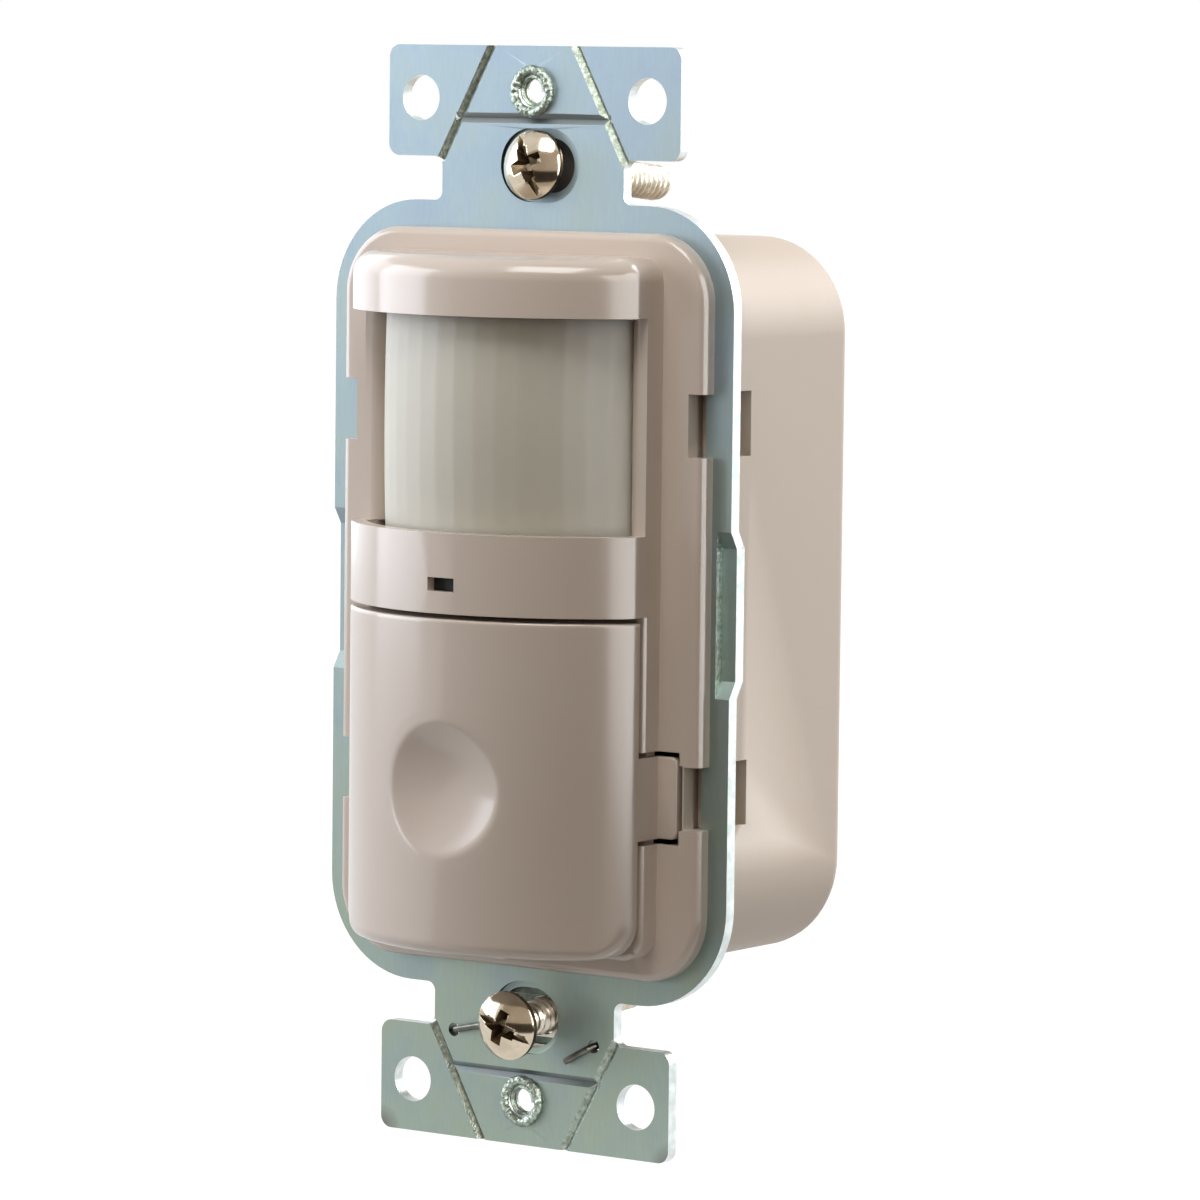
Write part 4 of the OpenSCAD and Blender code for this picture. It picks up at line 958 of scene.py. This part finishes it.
def dress_inner_parts():
    finishes = {
        # Glass-epoxy laminate under a green solder mask: even and half glossy
        ("control_board", "power_board"):
            moulded("glass_epoxy_green", "#2C6A40", "#245A36", 0.38, 0.3, 0.004),
        # Black liquid-crystal polymer and epoxy of the packages: dull, with a faint grain
        ("header_strip", "tact_switch", "controller_chips", "relay", "rectifier"):
            moulded("epoxy_black", "#232326", "#2B2B2E", 0.5, 0.2, 0.004),
        # Gilt brass pins: yellow and bright
        ("header_pins",): metal("brass_gilt", "#D2B25E", "#C4A24E", 0.25, 1, 0.1, 0.001),
        # Rolled brass of the contacts: warmer and duller
        ("terminal_contacts",): metal("brass_rolled", "#C59A4E", "#B58A42", 0.35, 2, 0.1, 0.002, (0.1, 1, 1)),
        # Bright stainless strip
        ("terminal_springs",):
            metal("stainless_strip", "#C6CACD", "#B8BCC0", 0.28, 2, 0.1, 0.002, (0.1, 1, 1)),
        # Nickel-plated can of the sensor: grey with a soft sheen
        ("pir_can",): metal("nickel_can", "#BDBCB6", "#AFAEA8", 0.3, 2, 0.2, 0.002),
        # Germanium-coated filter: dark, with a violet sheen
        ("pir_filter",): moulded("silicon_filter", "#34333F", "#3E3C4C", 0.15, 0.8, 0.001, ior=1.6),
        # Lacquered ceramic cell: orange-brown and glossy
        ("light_cell",): moulded("cell_lacquer", "#B98245", "#A9743A", 0.25, 0.5, 0.002),
        # Diffused epoxy lamp: pale green and cloudy
        ("indicator_led",): moulded("epoxy_pale_green", "#BDE0B6", "#B2D8AB", 0.2, 0.6, 0.002, ior=1.52),
        # Natural nylon plunger, dyed brown
        ("tact_plunger",): moulded("nylon_brown", "#5A2F26", "#6A3A2E", 0.4, 0.2, 0.003),
        # Blue glass-filled resin of the adjusters
        ("trimmer_bodies",): moulded("resin_blue", "#2E5FA8", "#28549A", 0.42, 0.2, 0.004),
        # Off-white nylon of the dials and the terminal block: waxy
        ("time_dial", "light_dial"): moulded("nylon_ivory", "#E6E0D0", "#DCD5C4", 0.4, 0.2, 0.003),
        ("terminal_block",): moulded("nylon_grey_white", "#D6D1C5", "#CCC6B9", 0.45, 0.25, 0.004),
        # Dipped yellow epoxy of the film capacitor
        ("film_capacitor",): moulded("epoxy_yellow", "#C9A227", "#BA941F", 0.32, 0.5, 0.004),
        # Shrunk sleeve of the electrolytic capacitors: slate blue and glossy
        ("bulk_capacitors",): moulded("sleeve_slate", "#26303A", "#2E3944", 0.28, 0.6, 0.003),
        # Blue powder coating of the disc
        ("varistor",): moulded("coating_blue", "#2F5FB0", "#2953A0", 0.4, 0.3, 0.006),
        # Flameproof brown coating of the resistor
        ("fuse_resistor",): moulded("coating_brown", "#7A6A4A", "#6C5D40", 0.55, 0.3, 0.008),
        # Sintered ferrite with varnished wire: dark brown
        ("choke",): moulded("ferrite_varnished", "#3B2A22", "#4A3528", 0.45, 0.25, 0.01),
    }
    for group, material in finishes.items():
        for node in group:
            nodes[node].data.materials.clear()
            nodes[node].data.materials.append(material)


# Studio

COOL = "#EDF3FF"
WARM = "#FFEFDD"
WHITE = (1, 1, 1, 1)
FILL = 0.12             # strength of the even light from all round
FLOOR_GLOW = 1.2
FLOOR_SHARE = 0.85      # share of the glow in what is looked at; the rest takes the shadow
STUDIO_HALF = 3000
CARD_LIFT = 0.5         # height of the lying card above the floor
SCRIM_HEIGHT = 900


def looked_at(tree):
    """1 for what the camera, a reflection or a refraction looks at, and 0 for what other light meets."""
    path = add(tree, "LightPath").outputs
    seen = add(tree, "Math", [path["Is Camera Ray"], path["Is Glossy Ray"]],
               operation="MAXIMUM")
    return add(tree, "Math", [seen, path["Is Transmission Ray"]], operation="MAXIMUM")


def floor_material():
    """A white floor: plain to the camera and to reflections, and still darkened by the object's shadow."""
    material, tree = new_material("studio_floor")
    share = add(tree, "Math", [looked_at(tree), FLOOR_SHARE], operation="MULTIPLY")
    matte = add(tree, "BsdfDiffuse", {"Color": (0.5, 0.5, 0.5, 1)})
    glow = add(tree, "Emission", {"Color": WHITE, "Strength": FLOOR_GLOW})
    mix = add(tree, "MixShader", [share, matte, glow])
    add(tree, "OutputMaterial", {"Surface": mix})
    return material


def set_world():
    """White where the camera or a reflection looks past the object, and an even warm fill elsewhere."""
    world = bpy.data.worlds.new("studio")
    world.use_nodes = True
    bpy.context.scene.world = world
    tree = world.node_tree
    tree.nodes.clear()
    shown = looked_at(tree)
    fill = add(tree, "Background", {"Color": linear(WARM), "Strength": FILL})
    white = add(tree, "Background", {"Color": WHITE, "Strength": 1.0})
    mix = add(tree, "MixShader", [shown, fill, white])
    add(tree, "OutputWorld", {"Surface": mix})


def towards(azimuth, elevation):
    """The direction of a view or a lamp: azimuth 0 lies in front of the switch and 90 to its right."""
    a = radians(azimuth)
    e = radians(elevation)
    return Vector((sin(a) * cos(e), -cos(a) * cos(e), sin(e)))


def add_lamp(name, azimuth, elevation, distance, width, height, power, gloss_only=False, colour="#FFFFFF"):
    """A soft lamp, in metres and watts. One that is for the gloss only lights no matte surface."""
    light = bpy.data.lights.new(name, "AREA")
    light.shape = "RECTANGLE"
    light.size = width
    light.size_y = height
    light.energy = power
    light.color = linear(colour)[:3]
    lamp = placed(name, light)
    back = towards(azimuth, elevation)
    lamp.location = back * distance
    lamp.rotation_euler = back.to_track_quat("Z", "Y").to_euler()
    lamp.visible_diffuse = not gloss_only


def add_card(name, corners, material):
    """A card that shows in reflections, without a shadow and out of the camera's sight."""
    card = new_piece(name, corners, [(0, 1, 2, 3)])
    card.data.materials.append(material)
    card.visible_camera = False
    card.visible_shadow = False


def card_material(name, colour, glow):
    """A matte card with a warm glow of its own, which stands for the light that falls on it."""
    material, tree = new_material(name)
    matte = add(tree, "BsdfDiffuse", {"Color": linear(colour)})
    light = add(tree, "Emission", {"Color": linear(WARM), "Strength": glow})
    both = add(tree, "AddShader", [matte, light])
    add(tree, "OutputMaterial", {"Surface": both})
    return material


def add_cards():
    """A black card lies in front of the switch, and a lit grey scrim stands behind the camera."""
    low = FLOOR_Z + CARD_LIFT
    near_left, near_right, far_right, far_left = (Vector(corner) for corner in (
        (-60, -70, low), (130, 30, low), (1300, -300, low), (-800, -1250, low)))
    # Black paper: keeps the undersides of the mouldings dark
    add_card("card_lying", [near_left, near_right, far_right, far_left],
             card_material("card_black_paper", "#2E2824", 0.03))
    up = Vector((0, 0, SCRIM_HEIGHT))
    # Grey scrim: gives the gloss an even mid tone in place of white
    add_card("card_standing", [far_left, far_right, far_right + up, far_left + up],
             card_material("card_grey_scrim", "#8A8682", 0.45))


def set_studio():
    set_world()
    corners = [(x * STUDIO_HALF, y * STUDIO_HALF, FLOOR_Z) for x, y in ((-1, -1), (1, -1), (1, 1), (-1, 1))]
    floor = new_piece("studio_floor", corners, [(0, 1, 2, 3)])
    floor.data.materials.append(floor_material())
    # Azimuth, elevation, distance, width, height and power
    add_lamp("key", -66, 10, 0.6, 0.4, 0.55, 3.9, colour=COOL)
    add_lamp("left", -108, 5, 0.7, 0.5, 0.7, 2.3, colour=COOL)
    add_lamp("top", 15, 60, 0.22, 0.1, 0.1, 0.25)
    add_lamp("side", 152, 32, 0.7, 0.3, 0.5, 4.3)
    add_lamp("strip", 88, 12, 0.26, 0.38, 0.3, 2.1, gloss_only=True)
    add_cards()


CAMERA_AZIMUTH = 35.412
CAMERA_ELEVATION = 5.015
CAMERA_ROLL = radians(0.655)
CAMERA_POINT = (356.7, -491.07, 53.2)
CAMERA_LENS = 191.03
CAMERA_SENSOR = 36.0


def set_camera():
    back = towards(CAMERA_AZIMUTH, CAMERA_ELEVATION)
    level = Vector((cos(radians(CAMERA_AZIMUTH)), sin(radians(CAMERA_AZIMUTH)), 0))
    upright = back.cross(level)
    right = cos(CAMERA_ROLL) * level + sin(CAMERA_ROLL) * upright
    up = -sin(CAMERA_ROLL) * level + cos(CAMERA_ROLL) * upright
    data = bpy.data.cameras.new("camera")
    data.sensor_width = CAMERA_SENSOR
    data.lens = CAMERA_LENS
    data.clip_start = 0.01
    camera = placed("camera", data)
    turn = Matrix((right, up, back)).transposed().to_4x4()
    camera.matrix_world = Matrix.Translation(Vector(CAMERA_POINT) * MM) @ turn
    bpy.context.scene.camera = camera


dress_strap()
dress_mouldings()
dress_button()
dress_lens()
dress_screws()
dress_clip()
dress_inner_parts()
set_studio()
set_camera()
bpy.context.scene.view_settings.view_transform = "Standard"
bpy.context.view_layer.update()
